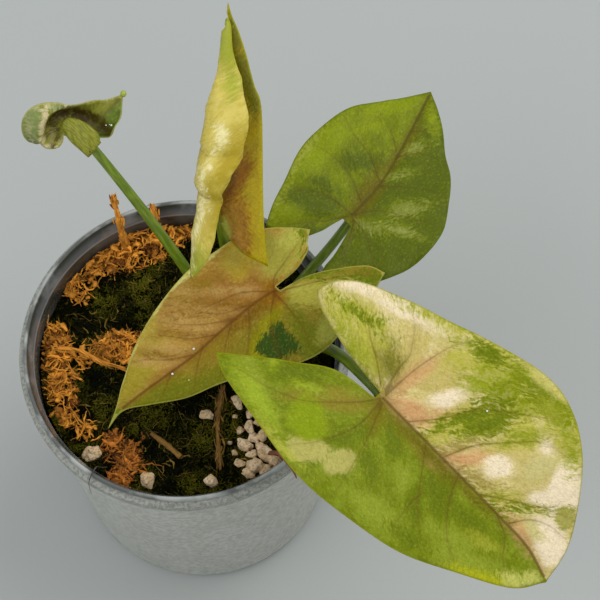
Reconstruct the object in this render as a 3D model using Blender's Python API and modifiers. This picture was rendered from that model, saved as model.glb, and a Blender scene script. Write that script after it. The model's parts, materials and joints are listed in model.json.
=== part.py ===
"""A five-leaved arrowhead plant in moss and fibre, in a clear tapered nursery pot."""

import math
import random

import bmesh
import bpy
from mathutils import Matrix, Vector
from mathutils.geometry import delaunay_2d_cdt

# Every size below is in millimetres until it is multiplied by MM.
MM = 0.001
CLEARANCE = 0.3

# Pot
POT_HEIGHT = 103.0
LIP_RADIUS = 45.0
COLLAR_RADIUS = 46.5
COLLAR_DEPTH = 9.0
BODY_TOP_RADIUS = 43.4
BASE_RADIUS = 39.3
WALL = 1.0
FLOOR_THICKNESS = 1.3
DRAIN_HOLES = 6
DRAIN_HOLE_RADIUS = 3.0
DRAIN_CIRCLE_RADIUS = 24.0
TURNED_STEPS = 56

# Growing mix and the moss on it
MIX_TOP = POT_HEIGHT - 17.0
MOSS_TOP = POT_HEIGHT - 12.5
MOSS_RELIEF = 1.1
MOSS_RINGS = 9
MOSS_SECTORS = 36

# Stem, which stands in a plain hole in the mix
STEM_PLACE = (18.0, 4.0)
STEM_RADIUS = 3.0
STEM_TOP = MOSS_TOP + 3.5
STEM_DEPTH = 18.0
ROOT_DEPTH = 44.0
ROOT_RADIUS = 0.9
ROOT_COUNT = 5
STEM_HOLE_RADIUS = 4.8
STEM_HOLE_DEPTH = 58.0

BLADE_THICKNESS = 0.8

# A leaf stands at its petiole's end and points at its tip; its blade faces the way given.
# curl turns the two halves up, per millimetre across: left half, right half.
# bow bends the blade down, per millimetre along: towards the tip, towards the lobes.
# furl is the radius over which the left half is folded back on itself.
# The margin's four runs go from the notch over one lobe's tip, the leaf's tip and the other
# lobe's tip back to the notch, as places across and along the flat blade.
LEAVES = {
    "front": {
        "at": (53.6, -29.1, 133.0),
        "tip_towards": (40.7, -48.5, -15.9),
        "facing": (0.08, -0.25, 0.965),
        "curl": (0.003, 0.003),
        "bow": (0.006, 0.004),
        "fold": 0.10,
        "wave": 0.7,
        "grid": (5.0, 5.0),
        "margin": (
            ((1.5, -1.5), (4.5, -13.5), (11.0, -22.0), (16.5, -28.5), (25.0, -37.5)),
            ((25.0, -37.5), (27.5, -31.0), (29.5, -14.0), (30.5, 1.0), (28.0, 15.0), (23.0, 32.0),
             (14.5, 48.0), (6.0, 61.0), (-2.0, 66.6)),
            ((-2.0, 66.6), (-12.0, 63.5), (-21.0, 56.0), (-29.0, 45.5), (-34.5, 34.0), (-35.5, 23.0),
             (-30.0, 7.5), (-23.5, -8.0), (-17.5, -23.0), (-12.0, -30.5), (-6.0, -33.0)),
            ((-6.0, -33.0), (-3.5, -28.0), (-1.2, -15.0), (-0.4, -1.5)),
        ),
    },
    "middle": {
        "at": (25.8, 4.9, 127.0),
        "tip_towards": (-45.0, -27.5, -13.6),
        "facing": (-0.17, -0.2, 0.965),
        "curl": (0.004, 0.006),
        "bow": (0.005, 0.004),
        "fold": 0.10,
        "wave": 0.6,
        "grid": (4.5, 4.5),
        "margin": (
            ((0.5, -1.7), (1.0, -9.0), (3.2, -14.5), (5.0, -15.5), (7.5, -18.3)),
            ((7.5, -18.3), (11.5, -14.0), (16.5, -5.0), (18.0, 5.0), (18.7, 14.0), (17.0, 26.0),
             (13.0, 37.0), (7.0, 48.0), (2.5, 54.0), (-0.8, 60.0)),
            ((-0.8, 60.0), (0.2, 53.0), (-3.5, 45.5), (-8.5, 36.0), (-11.5, 26.0), (-16.0, 15.5),
             (-21.0, 5.0), (-22.0, -3.5), (-20.0, -13.5), (-17.5, -21.0), (-14.7, -27.2)),
            ((-14.7, -27.2), (-10.0, -24.5), (-5.0, -16.5), (-2.0, -9.5), (-1.2, -2.0)),
        ),
    },
    "back": {
        "at": (48.7, 28.5, 123.0),
        "tip_towards": (23.7, 35.4, 1.9),
        "facing": (0.04, -0.08, 0.996),
        "curl": (0.003, 0.003),
        "bow": (0.004, 0.004),
        "fold": 0.06,
        "wave": 0.6,
        "grid": (4.5, 4.5),
        "margin": (
            ((1.6, -3.0), (1.8, -12.0), (1.2, -17.0), (2.5, -19.5)),
            ((2.5, -19.5), (8.5, -18.5), (15.0, -14.5), (20.5, -7.5), (23.5, 0.0), (24.0, 8.5),
             (21.0, 17.0), (17.5, 24.0), (13.0, 29.5), (8.5, 36.0), (4.0, 41.0), (-0.6, 45.3)),
            ((-0.6, 45.3), (-5.0, 40.5), (-11.0, 34.5), (-17.0, 27.0), (-21.0, 16.5), (-22.0, 9.0),
             (-21.0, -1.0), (-20.0, -9.0), (-18.5, -15.5)),
            ((-18.5, -15.5), (-13.0, -15.0), (-8.0, -12.5), (-4.5, -8.0), (-1.8, -2.0)),
        ),
    },
    "upright": {
        "at": (12.3, 22.1, 148.0),
        "tip_towards": (6.5, 32.9, 44.5),
        "facing": (-0.05, -0.8, 0.6),
        "curl": (0.0, 0.01),
        "bow": (0.0, 0.006),
        "fold": 0.0,
        "furl": 5.3,
        "wave": 0.0,
        "grid": (2.2, 4.5),
        "margin": (
            ((1.0, -1.5), (1.5, -6.0), (4.0, -10.5), (8.5, -15.0), (15.0, -17.7)),
            ((15.0, -17.7), (13.8, -10.0), (12.7, 2.0), (11.5, 17.0), (10.5, 27.0), (8.3, 33.0),
             (6.5, 40.0), (3.8, 49.0), (0.0, 55.7)),
            ((0.0, 55.7), (-3.8, 51.0), (-8.6, 41.8), (-13.8, 32.5), (-16.2, 26.0), (-16.4, 16.3),
             (-16.6, 8.0), (-17.9, 1.5), (-18.0, -5.0), (-16.0, -11.0), (-11.0, -19.0)),
            ((-11.0, -19.0), (-7.0, -13.5), (-3.5, -6.5), (-1.0, -1.5)),
        ),
    },
    "small": {
        "at": (-23.0, 43.3, 148.0),
        "tip_towards": (12.0, 9.6, 6.3),
        "facing": (-0.1, -0.45, 0.88),
        "curl": (0.06, 0.2),
        "bow": (0.015, 0.05),
        "fold": 0.0,
        "wave": 0.0,
        "grid": (1.8, 2.4),
        "margin": (
            ((0.8, -0.8), (1.5, -2.0), (2.8, -3.0)),
            ((2.8, -3.0), (5.8, -2.0), (6.8, 2.0), (5.6, 7.5), (3.2, 12.4), (-0.3, 16.5)),
            ((-0.3, 16.5), (-3.7, 11.2), (-8.8, 5.0), (-13.2, 0.0), (-15.9, -3.5), (-15.0, -7.5),
             (-12.5, -9.8), (-8.5, -11.0)),
            ((-8.5, -11.0), (-5.8, -8.5), (-3.4, -4.5), (-0.8, -0.8)),
        ),
    },
}

# Petioles: places that each passes through on its way from the stem to its blade, and its
# radius at the stem and at the blade.
PETIOLE_ROUTES = {
    "front": (
        ((22.8, 2.2, 91.8), (31.0, -2.0, 106.0), (41.5, -9.4, 118.0), (51.0, -23.0, 127.0)), 1.7, 1.3,
    ),
    "middle": (((18.0, 4.0, 95.0), (20.8, 4.9, 107.0), (24.2, 5.6, 118.0)), 1.5, 1.1),
    "back": (((20.8, 8.4, 91.8), (31.5, 15.0, 104.0), (42.0, 23.0, 113.5)), 1.6, 1.2),
    "upright": (((16.0, 8.9, 91.8), (15.2, 14.5, 108.0), (13.4, 19.5, 128.0)), 1.7, 1.2),
    "small": (
        ((12.9, 5.4, 92.2), (2.8, 18.8, 108.5), (-7.0, 30.0, 122.5), (-16.5, 39.2, 136.5)), 1.7, 1.1,
    ),
}

# Fibre clumps on the moss: middle, reach along and across, heading, strand count, height
FIBRE_CLUMPS = {
    "fibre_back": ((-11.5, 36.0), (16.0, 5.8), 20.0, 22, 6.0),
    "fibre_left": ((-36.0, -2.5), (16.0, 4.4), 95.0, 18, 3.5),
    "fibre_middle": ((-18.5, 5.5), (8.5, 4.5), 15.0, 14, 3.5),
}
# Longer fibres that stand or reach out of a clump: places, and radius at the start and at the end
LONG_FIBRES = {
    "fibre_back": (
        (
            ((-16.0, 34.0, 93.0), (-17.2, 37.0, 102.5), (-17.9, 40.0, 107.0), (-18.5, 43.9, 111.0)), 0.6, 0.4,
        ),
        (((-6.5, 36.0, 93.0), (-7.2, 39.6, 102.0), (-7.8, 42.4, 106.0)), 0.55, 0.4),
    ),
    "fibre_left": (
        (
            ((-36.5, 4.0, 95.5), (-30.0, 2.6, 96.5), (-23.5, -0.6, 95.0), (-17.0, -2.6, 93.5)), 0.65, 0.5,
        ),
    ),
    "fibre_middle": (),
}
STRAND_RADIUS = 0.7
ROOM_RADIUS = LIP_RADIUS - 4.2

PUMICE_PLACES = (
    (15.0, -14.5), (17.5, -18.5), (19.8, -22.4), (15.4, -22.6), (17.6, -26.4), (22.4, -26.6),
    (19.6, -30.6), (15.2, -30.2), (12.6, -26.4),
)
PUMICE_BED = (17.2, -23.5)
PUMICE_RADIUS = 2.3
LOOSE_GRAINS = {
    "grain_front": ((-11.3, -35.6), 2.0),
    "grain_left": ((-26.6, -27.4), 2.3),
    "grain_right": ((6.0, -36.0), 1.8),
    "grain_middle": ((5.3, -17.1), 1.6),
}

# Flat flakes of husk on the moss: middle, reach along and across, heading
HUSK_FLAKES = {
    "husk_left": ((-20.6, -24.2), (4.2, 2.0), 15.0),
    "husk_middle": ((-16.4, -29.4), (3.8, 1.9), -30.0),
    "husk_front": ((-18.6, -34.0), (3.2, 1.7), 140.0),
}
HUSK_THICKNESS = 0.8

# Rods that lie on the moss: places, and radius at the start and at the end
LYING_RODS = {
    "stick": (((-10.5, -21.3), (-6.5, -24.6), (-2.2, -29.1)), 1.0, 0.8),
    "brown_strand": (((10.0, -9.4), (8.4, -20.0), (8.8, -33.0)), 0.9, 0.7),
}

# Pieces that lean over the lip: heading in degrees, (radius, height) pairs and sway
SHEATH_ROUTE = (
    -53.2,
    ((38.2, 96.6), (40.2, 101.0), (42.0, 104.3), (45.0, 104.2), (47.4, 101.6), (48.6, 96.8)),
    0.2,
)
STRAY_ROOT_ROUTE = (
    -126.2,
    ((38.6, 92.6), (40.6, 98.0), (42.2, 103.3), (44.9, 103.8), (47.0, 101.8), (47.6, 94.5)),
    0.3,
)

GREEN_PETIOLE = (0.07, 0.19, 0.03)
COLOURS = {
    "front": (0.42, 0.52, 0.18),
    "middle": (0.38, 0.27, 0.15),
    "back": (0.14, 0.26, 0.06),
    "upright": (0.55, 0.47, 0.08),
    "small": (0.24, 0.34, 0.12),
}


def clear_scene():
    for item in list(bpy.data.objects):
        bpy.data.objects.remove(item, do_unlink=True)


def make_material(name, colour, roughness, metallic=0.0):
    material = bpy.data.materials.new(name)
    material.use_nodes = True
    shader = material.node_tree.nodes["Principled BSDF"]
    shader.inputs["Base Color"].default_value = (*colour, 1.0)
    shader.inputs["Roughness"].default_value = roughness
    shader.inputs["Metallic"].default_value = metallic
    return material


def add_object(name, mesh, collection, material=None):
    item = bpy.data.objects.new(name, mesh)
    collection.objects.link(item)
    if material:
        mesh.materials.clear()
        mesh.materials.append(material)
    return item


def mesh_from(name, builder):
    mesh = bpy.data.meshes.new(name)
    builder.to_mesh(mesh)
    builder.free()
    return mesh


def shade_round(item, angle=40.0):
    item.data.shade_smooth()
    item.data.set_sharp_from_angle(angle=math.radians(angle))


def smooth_run(points, parts):
    """Points on a smooth curve through the given ones, with this many parts in each span."""
    points = [Vector(point) for point in points]
    ends = [2 * points[0] - points[1], *points, 2 * points[-1] - points[-2]]
    run = []
    for before, start, end, after in zip(ends, ends[1:], ends[2:], ends[3:]):
        for part in range(parts):
            t = part / parts
            bend = 2 * start + (end - before) * t
            bend += (2 * before - 5 * start + 4 * end - after) * t**2
            bend += (3 * start - before - 3 * end + after) * t**3
            run.append(bend / 2)
    return [*run, points[-1]]


def turned(name, profile, collection, material, steps=TURNED_STEPS):
    """A solid of revolution; its profile is (radius, height), running down the outer side."""
    builder = bmesh.new()
    ring = [builder.verts.new((radius * MM, 0, height * MM)) for radius, height in profile]
    for start, end in zip(ring, ring[1:]):
        builder.edges.new((start, end))
    item = add_object(name, mesh_from(name, builder), collection, material)
    screw = item.modifiers.new("Turn", "SCREW")
    screw.steps = steps
    screw.render_steps = steps
    screw.use_merge_vertices = True
    screw.merge_threshold = 0.00001
    return item


def tube_mesh(name, places, radii, sides_level=1):
    """A round rod through the places, as a mesh whose ends are closed."""
    path = bpy.data.curves.new(name, "CURVE")
    path.dimensions = "3D"
    path.bevel_depth = MM
    path.bevel_resolution = sides_level
    path.use_fill_caps = True
    spline = path.splines.new("POLY")
    spline.points.add(len(places) - 1)
    for point, place, radius in zip(spline.points, places, radii):
        point.co = (*(Vector(place) * MM), 1.0)
        point.radius = radius
    guide = bpy.data.objects.new(name, path)
    bpy.context.scene.collection.objects.link(guide)
    graph = bpy.context.evaluated_depsgraph_get()
    mesh = bpy.data.meshes.new_from_object(guide.evaluated_get(graph))
    bpy.data.objects.remove(guide)
    bpy.data.curves.remove(path)
    builder = bmesh.new()
    builder.from_mesh(mesh)
    bmesh.ops.remove_doubles(builder, verts=builder.verts, dist=0.000001)
    builder.to_mesh(mesh)
    builder.free()
    return mesh


def lerp_list(start, end, count):
    return [start + (end - start) * step / (count - 1) for step in range(count)]


def cut(item, cutter):
    boolean = item.modifiers.new("Cut", "BOOLEAN")
    boolean.operation = "DIFFERENCE"
    boolean.object = cutter
    boolean.solver = "EXACT"


def fuse(base, others):
    """One solid from the base and the other objects, which are then removed."""
    group = bpy.data.collections.new(base.name + "_repeats")
    for other in others:
        for owner in list(other.users_collection):
            owner.objects.unlink(other)
        group.objects.link(other)
    bpy.context.scene.collection.children.link(group)
    boolean = base.modifiers.new("Fuse", "BOOLEAN")
    boolean.operation = "UNION"
    boolean.operand_type = "COLLECTION"
    boolean.collection = group
    boolean.solver = "EXACT"
    graph = bpy.context.evaluated_depsgraph_get()
    fused = bpy.data.meshes.new_from_object(base.evaluated_get(graph))
    base.modifiers.clear()
    base.data = fused
    for other in list(group.objects):
        bpy.data.objects.remove(other, do_unlink=True)
    bpy.data.collections.remove(group)
    drop_scraps(fused)


def drop_scraps(mesh):
    """Keeps the largest of a mesh's loose pieces."""
    builder = bmesh.new()
    builder.from_mesh(mesh)
    left = set(builder.verts)
    islands = []
    while left:
        island = set()
        front = [left.pop()]
        while front:
            vert = front.pop()
            island.add(vert)
            near = {edge.other_vert(vert) for edge in vert.link_edges} & left
            left -= near
            front.extend(near)
        islands.append(island)
    largest = max(islands, key=len)
    scraps = [vert for vert in builder.verts if vert not in largest]
    bmesh.ops.delete(builder, geom=scraps, context="VERTS")
    builder.to_mesh(mesh)
    builder.free()


def pot_radius(height):
    """Outer radius of the pot's tapered body at a height above its base."""
    share = height / (POT_HEIGHT - COLLAR_DEPTH)
    return BASE_RADIUS + (BODY_TOP_RADIUS - BASE_RADIUS) * share


def moss_height(x, y):
    """Uneven top of the moss, kept low round the stem."""
    swell = math.sin(x / 5.3 + 1.0) * math.sin(y / 4.7 + 0.4)
    ripple = math.sin(x / 2.9) * math.cos(y / 3.3 + 0.5)
    near_stem = math.exp(-((x - STEM_PLACE[0]) ** 2 + (y - STEM_PLACE[1]) ** 2) / 90.0)
    return MOSS_TOP + MOSS_RELIEF * (swell + 0.6 * ripple) * (1 - near_stem)


def resting_height(x, y, radius, reach=None):
    """Height of the middle of a ball, or of a flat lump of more reach, that rests on the moss."""
    reach = reach or radius
    steps = [-1.0, -0.75, -0.5, -0.25, 0.0, 0.25, 0.5, 0.75, 1.0]
    heights = []
    for a in steps:
        for b in steps:
            if math.hypot(a, b) <= 1.0:
                belly = radius * math.sqrt(1.0 - a * a - b * b)
                heights.append(moss_height(x + reach * a, y + reach * b) + belly)
    return max(heights) + CLEARANCE


def resting_rod(points, radii):
    """A rod's places, each at the height where it rests on the moss."""
    places = []
    for point, radius in zip(points, radii):
        places.append((point.x, point.y, resting_height(point.x, point.y, radius * 1.1)))
    return places


def over_lip(heading, profile, sway):
    """Places of a piece that leans over the pot's lip, from (radius, height) pairs."""
    places = []
    for index, (radius, height) in enumerate(profile):
        angle = math.radians(heading) + sway * index / radius
        places.append((radius * math.cos(angle), radius * math.sin(angle), height))
    return smooth_run(places, 3)


def make_pot(parts, cutters):
    plastic = make_material("clear_plastic", (0.62, 0.65, 0.64), 0.25)
    inner_top = LIP_RADIUS - 2.5
    profile = [
        (0, FLOOR_THICKNESS),
        (BASE_RADIUS - 3.0, FLOOR_THICKNESS),
        (pot_radius(4.0) - WALL, 4.0),
        (pot_radius(POT_HEIGHT - COLLAR_DEPTH) - WALL, POT_HEIGHT - COLLAR_DEPTH),
        (inner_top, POT_HEIGHT - 3.0),
        (inner_top, POT_HEIGHT - 0.8),
        (inner_top + 0.6, POT_HEIGHT),
        (LIP_RADIUS - 0.5, POT_HEIGHT),
        (LIP_RADIUS, POT_HEIGHT - 0.7),
        (LIP_RADIUS, POT_HEIGHT - 2.0),
        (COLLAR_RADIUS - 0.3, POT_HEIGHT - 2.8),
        (COLLAR_RADIUS, POT_HEIGHT - COLLAR_DEPTH + 0.5),
        (COLLAR_RADIUS - 0.6, POT_HEIGHT - COLLAR_DEPTH),
        (BODY_TOP_RADIUS, POT_HEIGHT - COLLAR_DEPTH - 1.0),
        (pot_radius(3.0), 3.0),
        (BASE_RADIUS - 1.0, 0.8),
        (BASE_RADIUS - 2.5, 0),
        (0, 0),
    ]
    pot = turned("pot", profile, parts, plastic)
    for index in range(DRAIN_HOLES):
        angle = 2 * math.pi * (index + 0.5) / DRAIN_HOLES
        builder = bmesh.new()
        bmesh.ops.create_cone(
            builder, cap_ends=True, segments=12, depth=10 * MM,
            radius1=DRAIN_HOLE_RADIUS * MM, radius2=DRAIN_HOLE_RADIUS * MM,
        )
        hole = add_object(f"drain_cutter_{index}", mesh_from("drain_cutter", builder), cutters)
        hole.location = Vector((math.cos(angle), math.sin(angle), 0)) * DRAIN_CIRCLE_RADIUS * MM
        hide(hole)
        cut(pot, hole)
    shade_round(pot)


def hide(helper):
    helper.hide_render = True
    helper.display_type = "WIRE"


def make_stem_cutter(cutters):
    builder = bmesh.new()
    bmesh.ops.create_cone(
        builder, cap_ends=True, segments=20, depth=STEM_HOLE_DEPTH * MM,
        radius1=STEM_HOLE_RADIUS * MM, radius2=STEM_HOLE_RADIUS * MM,
    )
    hole = add_object("stem_hole_cutter", mesh_from("stem_hole_cutter", builder), cutters)
    middle = POT_HEIGHT - STEM_HOLE_DEPTH / 2
    hole.location = Vector((*STEM_PLACE, middle)) * MM
    hide(hole)
    return hole


def make_growing_mix(parts, hole):
    mix_brown = make_material("growing_mix", (0.05, 0.035, 0.02), 0.95)
    bottom = FLOOR_THICKNESS + CLEARANCE
    gap = WALL + CLEARANCE
    profile = [
        (0, MIX_TOP),
        (pot_radius(MIX_TOP) - gap, MIX_TOP),
        (pot_radius(6.0) - gap, 6.0),
        (BASE_RADIUS - 4.5, bottom),
        (0, bottom),
    ]
    mix = turned("growing_mix", profile, parts, mix_brown, 40)
    cut(mix, hole)


def make_moss(parts, hole):
    """A carpet over the whole mix, its top raised by the moss's relief."""
    moss_green = make_material("moss", (0.03, 0.05, 0.015), 0.95)
    builder = bmesh.new()
    outer = pot_radius(MOSS_TOP) - WALL - 2 * CLEARANCE
    rings = [[builder.verts.new((0, 0, 0))]]
    for ring in range(1, MOSS_RINGS + 1):
        reach = outer * ring / MOSS_RINGS
        turns = [2 * math.pi * sector / MOSS_SECTORS for sector in range(MOSS_SECTORS)]
        rings.append([builder.verts.new((reach * math.cos(a), reach * math.sin(a), 0)) for a in turns])
    for inner, ring in zip(rings, rings[1:]):
        for sector in range(MOSS_SECTORS):
            after = (sector + 1) % MOSS_SECTORS
            if len(inner) == 1:
                builder.faces.new((inner[0], ring[sector], ring[after]))
            else:
                builder.faces.new((inner[sector], ring[sector], ring[after]))
                builder.faces.new((inner[sector], ring[after], inner[after]))
    top = list(builder.verts)
    lower = bmesh.ops.extrude_face_region(builder, geom=list(builder.faces))["geom"]
    for vert in (part for part in lower if isinstance(part, bmesh.types.BMVert)):
        vert.co.z = MIX_TOP + CLEARANCE
    for vert in top:
        vert.co.z = moss_height(vert.co.x, vert.co.y)
    bmesh.ops.scale(builder, vec=(MM, MM, MM), verts=builder.verts)
    bmesh.ops.recalc_face_normals(builder, faces=builder.faces)
    moss = add_object("moss", mesh_from("moss", builder), parts, moss_green)
    cut(moss, hole)
    shade_round(moss, 60)


def make_stem(parts):
    """The short stem with its joints, and its roots that run down the hole."""
    stem_green = make_material("stem", (0.10, 0.16, 0.04), 0.5)
    top = STEM_TOP
    profile = [
        (0, top),
        (STEM_RADIUS - 1.0, top),
        (STEM_RADIUS, top - 1.2),
        (STEM_RADIUS - 0.3, top - 5.0),
        (STEM_RADIUS + 0.3, top - 5.8),
        (STEM_RADIUS - 0.3, top - 6.6),
        (STEM_RADIUS - 0.4, top - STEM_DEPTH + 1.5),
        (STEM_RADIUS - 1.2, top - STEM_DEPTH),
        (0, top - STEM_DEPTH),
    ]
    stem = turned("stem", profile, parts, stem_green, 20)
    stem.location = Vector((*STEM_PLACE, 0)) * MM
    roots = []
    for index in range(ROOT_COUNT):
        places = []
        for step in range(8):
            share = step / 7
            turn = 2 * math.pi * index / ROOT_COUNT + 1.6 * share
            reach = STEM_RADIUS - 1.6 + 1.2 * math.sin(math.pi * share)
            height = top - STEM_DEPTH + 4.0 - (ROOT_DEPTH - STEM_DEPTH) * share
            x, y = STEM_PLACE
            places.append((x + reach * math.cos(turn), y + reach * math.sin(turn), height))
        mesh = tube_mesh("root", places, lerp_list(ROOT_RADIUS, ROOT_RADIUS * 0.6, 8))
        roots.append(add_object("root", mesh, parts))
    fuse(stem, roots)
    stem.data.materials.clear()
    stem.data.materials.append(stem_green)
    shade_round(stem)


def blade_frame(leaf):
    """The blade's own directions: across, along and facing."""
    facing = Vector(leaf["facing"]).normalized()
    along = Vector(leaf["tip_towards"])
    along = (along - facing * along.dot(facing)).normalized()
    return along.cross(facing), along, facing


def fold_back(across, along, radius, length):
    """Sideways and upward place on a half that is folded back over itself."""
    radius *= min(max(1.0 - along / length, 0.22), 1.12)
    turned_by = min(-across / radius, math.pi)
    beyond = max(-across - math.pi * radius, 0.0)
    return beyond - radius * math.sin(turned_by), radius * (1 - math.cos(turned_by))


def blade_place(leaf, across, along, to_margin):
    """Where a point of the flat blade lies in the plant, in millimetres."""
    length = leaf["margin"][1][-1][1]
    if leaf.get("furl") and across < 0:
        side, rise = fold_back(across, along, leaf["furl"], length)
    else:
        curl = max(leaf["curl"][1 if across > 0 else 0], 1e-5)
        side = math.copysign(math.sin(abs(across) * curl) / curl, across)
        rise = (1 - math.cos(across * curl)) / curl
    rise += leaf["fold"] * (math.hypot(across, 2.0) - 2.0)
    rise += leaf["wave"] * math.exp(-to_margin / 5.0) * math.sin(9 * math.atan2(across, along) + 1.0)
    bow = max(leaf["bow"][0 if along > 0 else 1], 1e-5)
    forward = math.sin(along * bow) / bow + rise * math.sin(along * bow)
    upward = (math.cos(along * bow) - 1) / bow + rise * math.cos(along * bow)
    sideways, onwards, facing = blade_frame(leaf)
    return Vector(leaf["at"]) + sideways * side + onwards * forward + facing * upward


def margin_points(leaf, parts):
    """The blade's outline, closed, from its four runs."""
    outline = []
    for run in leaf["margin"]:
        outline += [point.to_2d() for point in smooth_run([(*place, 0) for place in run], parts)[:-1]]
    outline.append(Vector(leaf["margin"][-1][-1]))
    return outline


def inside(point, outline):
    """Whether a point lies inside a closed outline."""
    crossings = 0
    for start, end in zip(outline, outline[1:] + outline[:1]):
        if (start.y > point.y) != (end.y > point.y):
            place = start.x + (point.y - start.y) / (end.y - start.y) * (end.x - start.x)
            crossings += place > point.x
    return crossings % 2 == 1


def distance_to(point, outline):
    """How far a point lies from a closed outline."""
    nearest = math.inf
    for start, end in zip(outline, outline[1:] + outline[:1]):
        span = end - start
        share = max(0.0, min(1.0, (point - start).dot(span) / max(span.length_squared, 1e-9)))
        nearest = min(nearest, (start + span * share - point).length)
    return nearest


def flat_blade(leaf, parts):
    """Flat points and triangles of a blade: its outline filled over a staggered grid."""
    outline = margin_points(leaf, parts)
    step_across, step_along = leaf["grid"]
    left = min(point.x for point in outline)
    low = min(point.y for point in outline)
    high = max(point.y for point in outline)
    wide = max(point.x for point in outline) - left
    points = list(outline)
    for row in range(int((high - low) / step_along) + 2):
        for column in range(int(wide / step_across) + 2):
            across = left + (column + 0.5 * (row % 2)) * step_across
            place = Vector((across, low + row * step_along))
            if inside(place, outline) and distance_to(place, outline) > 0.45 * step_across:
                points.append(place)
    ring = list(range(len(outline)))
    filled = delaunay_2d_cdt(points, [], [ring], 1, 1e-5)
    places = [Vector(place) for place in filled[0]]
    return places, filled[2], outline


def make_blade(name, leaf, parts, material):
    builder = bmesh.new()
    places, triangles, outline = flat_blade(leaf, 2)
    corners = []
    for place in places:
        bent = blade_place(leaf, place.x, place.y, distance_to(place, outline))
        corners.append(builder.verts.new(bent * MM))
    for triangle in triangles:
        first, second, third = (places[index] for index in triangle)
        upward = (second - first).cross(third - first) > 0
        builder.faces.new([corners[index] for index in (triangle if upward else reversed(triangle))])
    blade = add_object(name, mesh_from(name, builder), parts, material)
    shell = blade.modifiers.new("Thickness", "SOLIDIFY")
    shell.thickness = BLADE_THICKNESS * MM
    shell.offset = -1.0
    shade_round(blade, 60)


def make_leaves(parts):
    for name, leaf in LEAVES.items():
        make_blade("leaf_" + name, leaf, parts, make_material("leaf_" + name, COLOURS[name], 0.4))
        make_petiole(name, leaf, parts)


def make_petiole(name, leaf, parts):
    """A rod from beside the stem to just under its blade, which it meets square on."""
    route, start_radius, end_radius = PETIOLE_ROUTES[name]
    facing = blade_frame(leaf)[2]
    under = Vector(leaf["at"]) - facing * (BLADE_THICKNESS + 1.5 * CLEARANCE)
    places = smooth_run([*route, under - facing * 2.0], 3) + [under]
    radii = lerp_list(start_radius, end_radius, len(places))
    green = make_material("petiole_" + name, GREEN_PETIOLE, 0.45)
    petiole = add_object("petiole_" + name, tube_mesh("petiole_" + name, places, radii, 2), parts, green)
    shade_round(petiole)


def lumpy_ball(name, middle, sizes, seed, parts, heading=None):
    """A rounded lump with uneven sides, drawn in where it would touch the pot."""
    draw = random.Random(seed)
    heading = draw.uniform(0, 360) if heading is None else heading
    builder = bmesh.new()
    bmesh.ops.create_icosphere(builder, subdivisions=2, radius=1.0)
    turn = Matrix.Rotation(math.radians(heading), 3, "Z")
    for vert in builder.verts:
        lump = Vector([size * part for size, part in zip(sizes, vert.co)]) * draw.uniform(0.86, 1.04)
        vert.co = keep_in_pot(Vector(middle) + turn @ lump) * MM
    return add_object(name, mesh_from(name, builder), parts)


def keep_in_pot(place):
    """The place, drawn in from the pot's wall where it would touch it."""
    reach = math.hypot(place.x, place.y)
    scale = min(1.0, ROOM_RADIUS / reach)
    return Vector((place.x * scale, place.y * scale, place.z))


def finish_fused(item, material):
    item.data.materials.clear()
    item.data.materials.append(material)


def make_fibre_clump(name, parts, material, seed):
    """A pad of matted fibre with the ends of its strands standing out of it."""
    (x, y), (long_reach, short_reach), heading, count, height = FIBRE_CLUMPS[name]
    draw = random.Random(seed)
    floor = resting_height(x, y, height * 0.5, long_reach * 0.9) - height * 0.5
    turn = Matrix.Rotation(math.radians(heading), 3, "Z")
    middle = Vector((x, y, floor + height * 0.5))
    pad = lumpy_ball(name, middle, (long_reach, short_reach, height * 0.5), seed, parts, heading)
    strands = []
    for index in range(count):
        start = Vector((draw.uniform(-0.8, 0.8) * long_reach, draw.uniform(-0.7, 0.7) * short_reach, 0))
        length = draw.uniform(7.0, 12.0)
        lean = math.radians(draw.uniform(-40, 40))
        bend = draw.uniform(-2.0, 2.0)
        places = []
        for share in (-0.5, -0.25, 0.0, 0.25, 0.5):
            along = Vector((math.cos(lean), math.sin(lean), 0)) * share * length
            aside = Vector((-math.sin(lean), math.cos(lean), 0)) * bend * math.cos(math.pi * share)
            lift = height * (0.55 + 0.5 * math.cos(math.pi * share)) * draw.uniform(0.75, 1.0)
            place = Vector((x, y, floor + lift)) + turn @ (start + along + aside)
            place = keep_in_pot(place)
            place.z = max(place.z, resting_height(place.x, place.y, STRAND_RADIUS))
            places.append(place)
        mesh = tube_mesh("strand", places, lerp_list(STRAND_RADIUS, STRAND_RADIUS * 0.5, 5), 0)
        strands.append(add_object("strand", mesh, parts))
    for route, thick, thin in LONG_FIBRES[name]:
        places = smooth_run(route, 3)
        mesh = tube_mesh("strand", places, lerp_list(thick, thin, len(places)), 1)
        strands.append(add_object("strand", mesh, parts))
    fuse(pad, strands)
    finish_fused(pad, material)


def make_rod(name, places, radii, parts, material, sides_level=1):
    rod = add_object(name, tube_mesh(name, places, radii, sides_level), parts, material)
    shade_round(rod)


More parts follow.
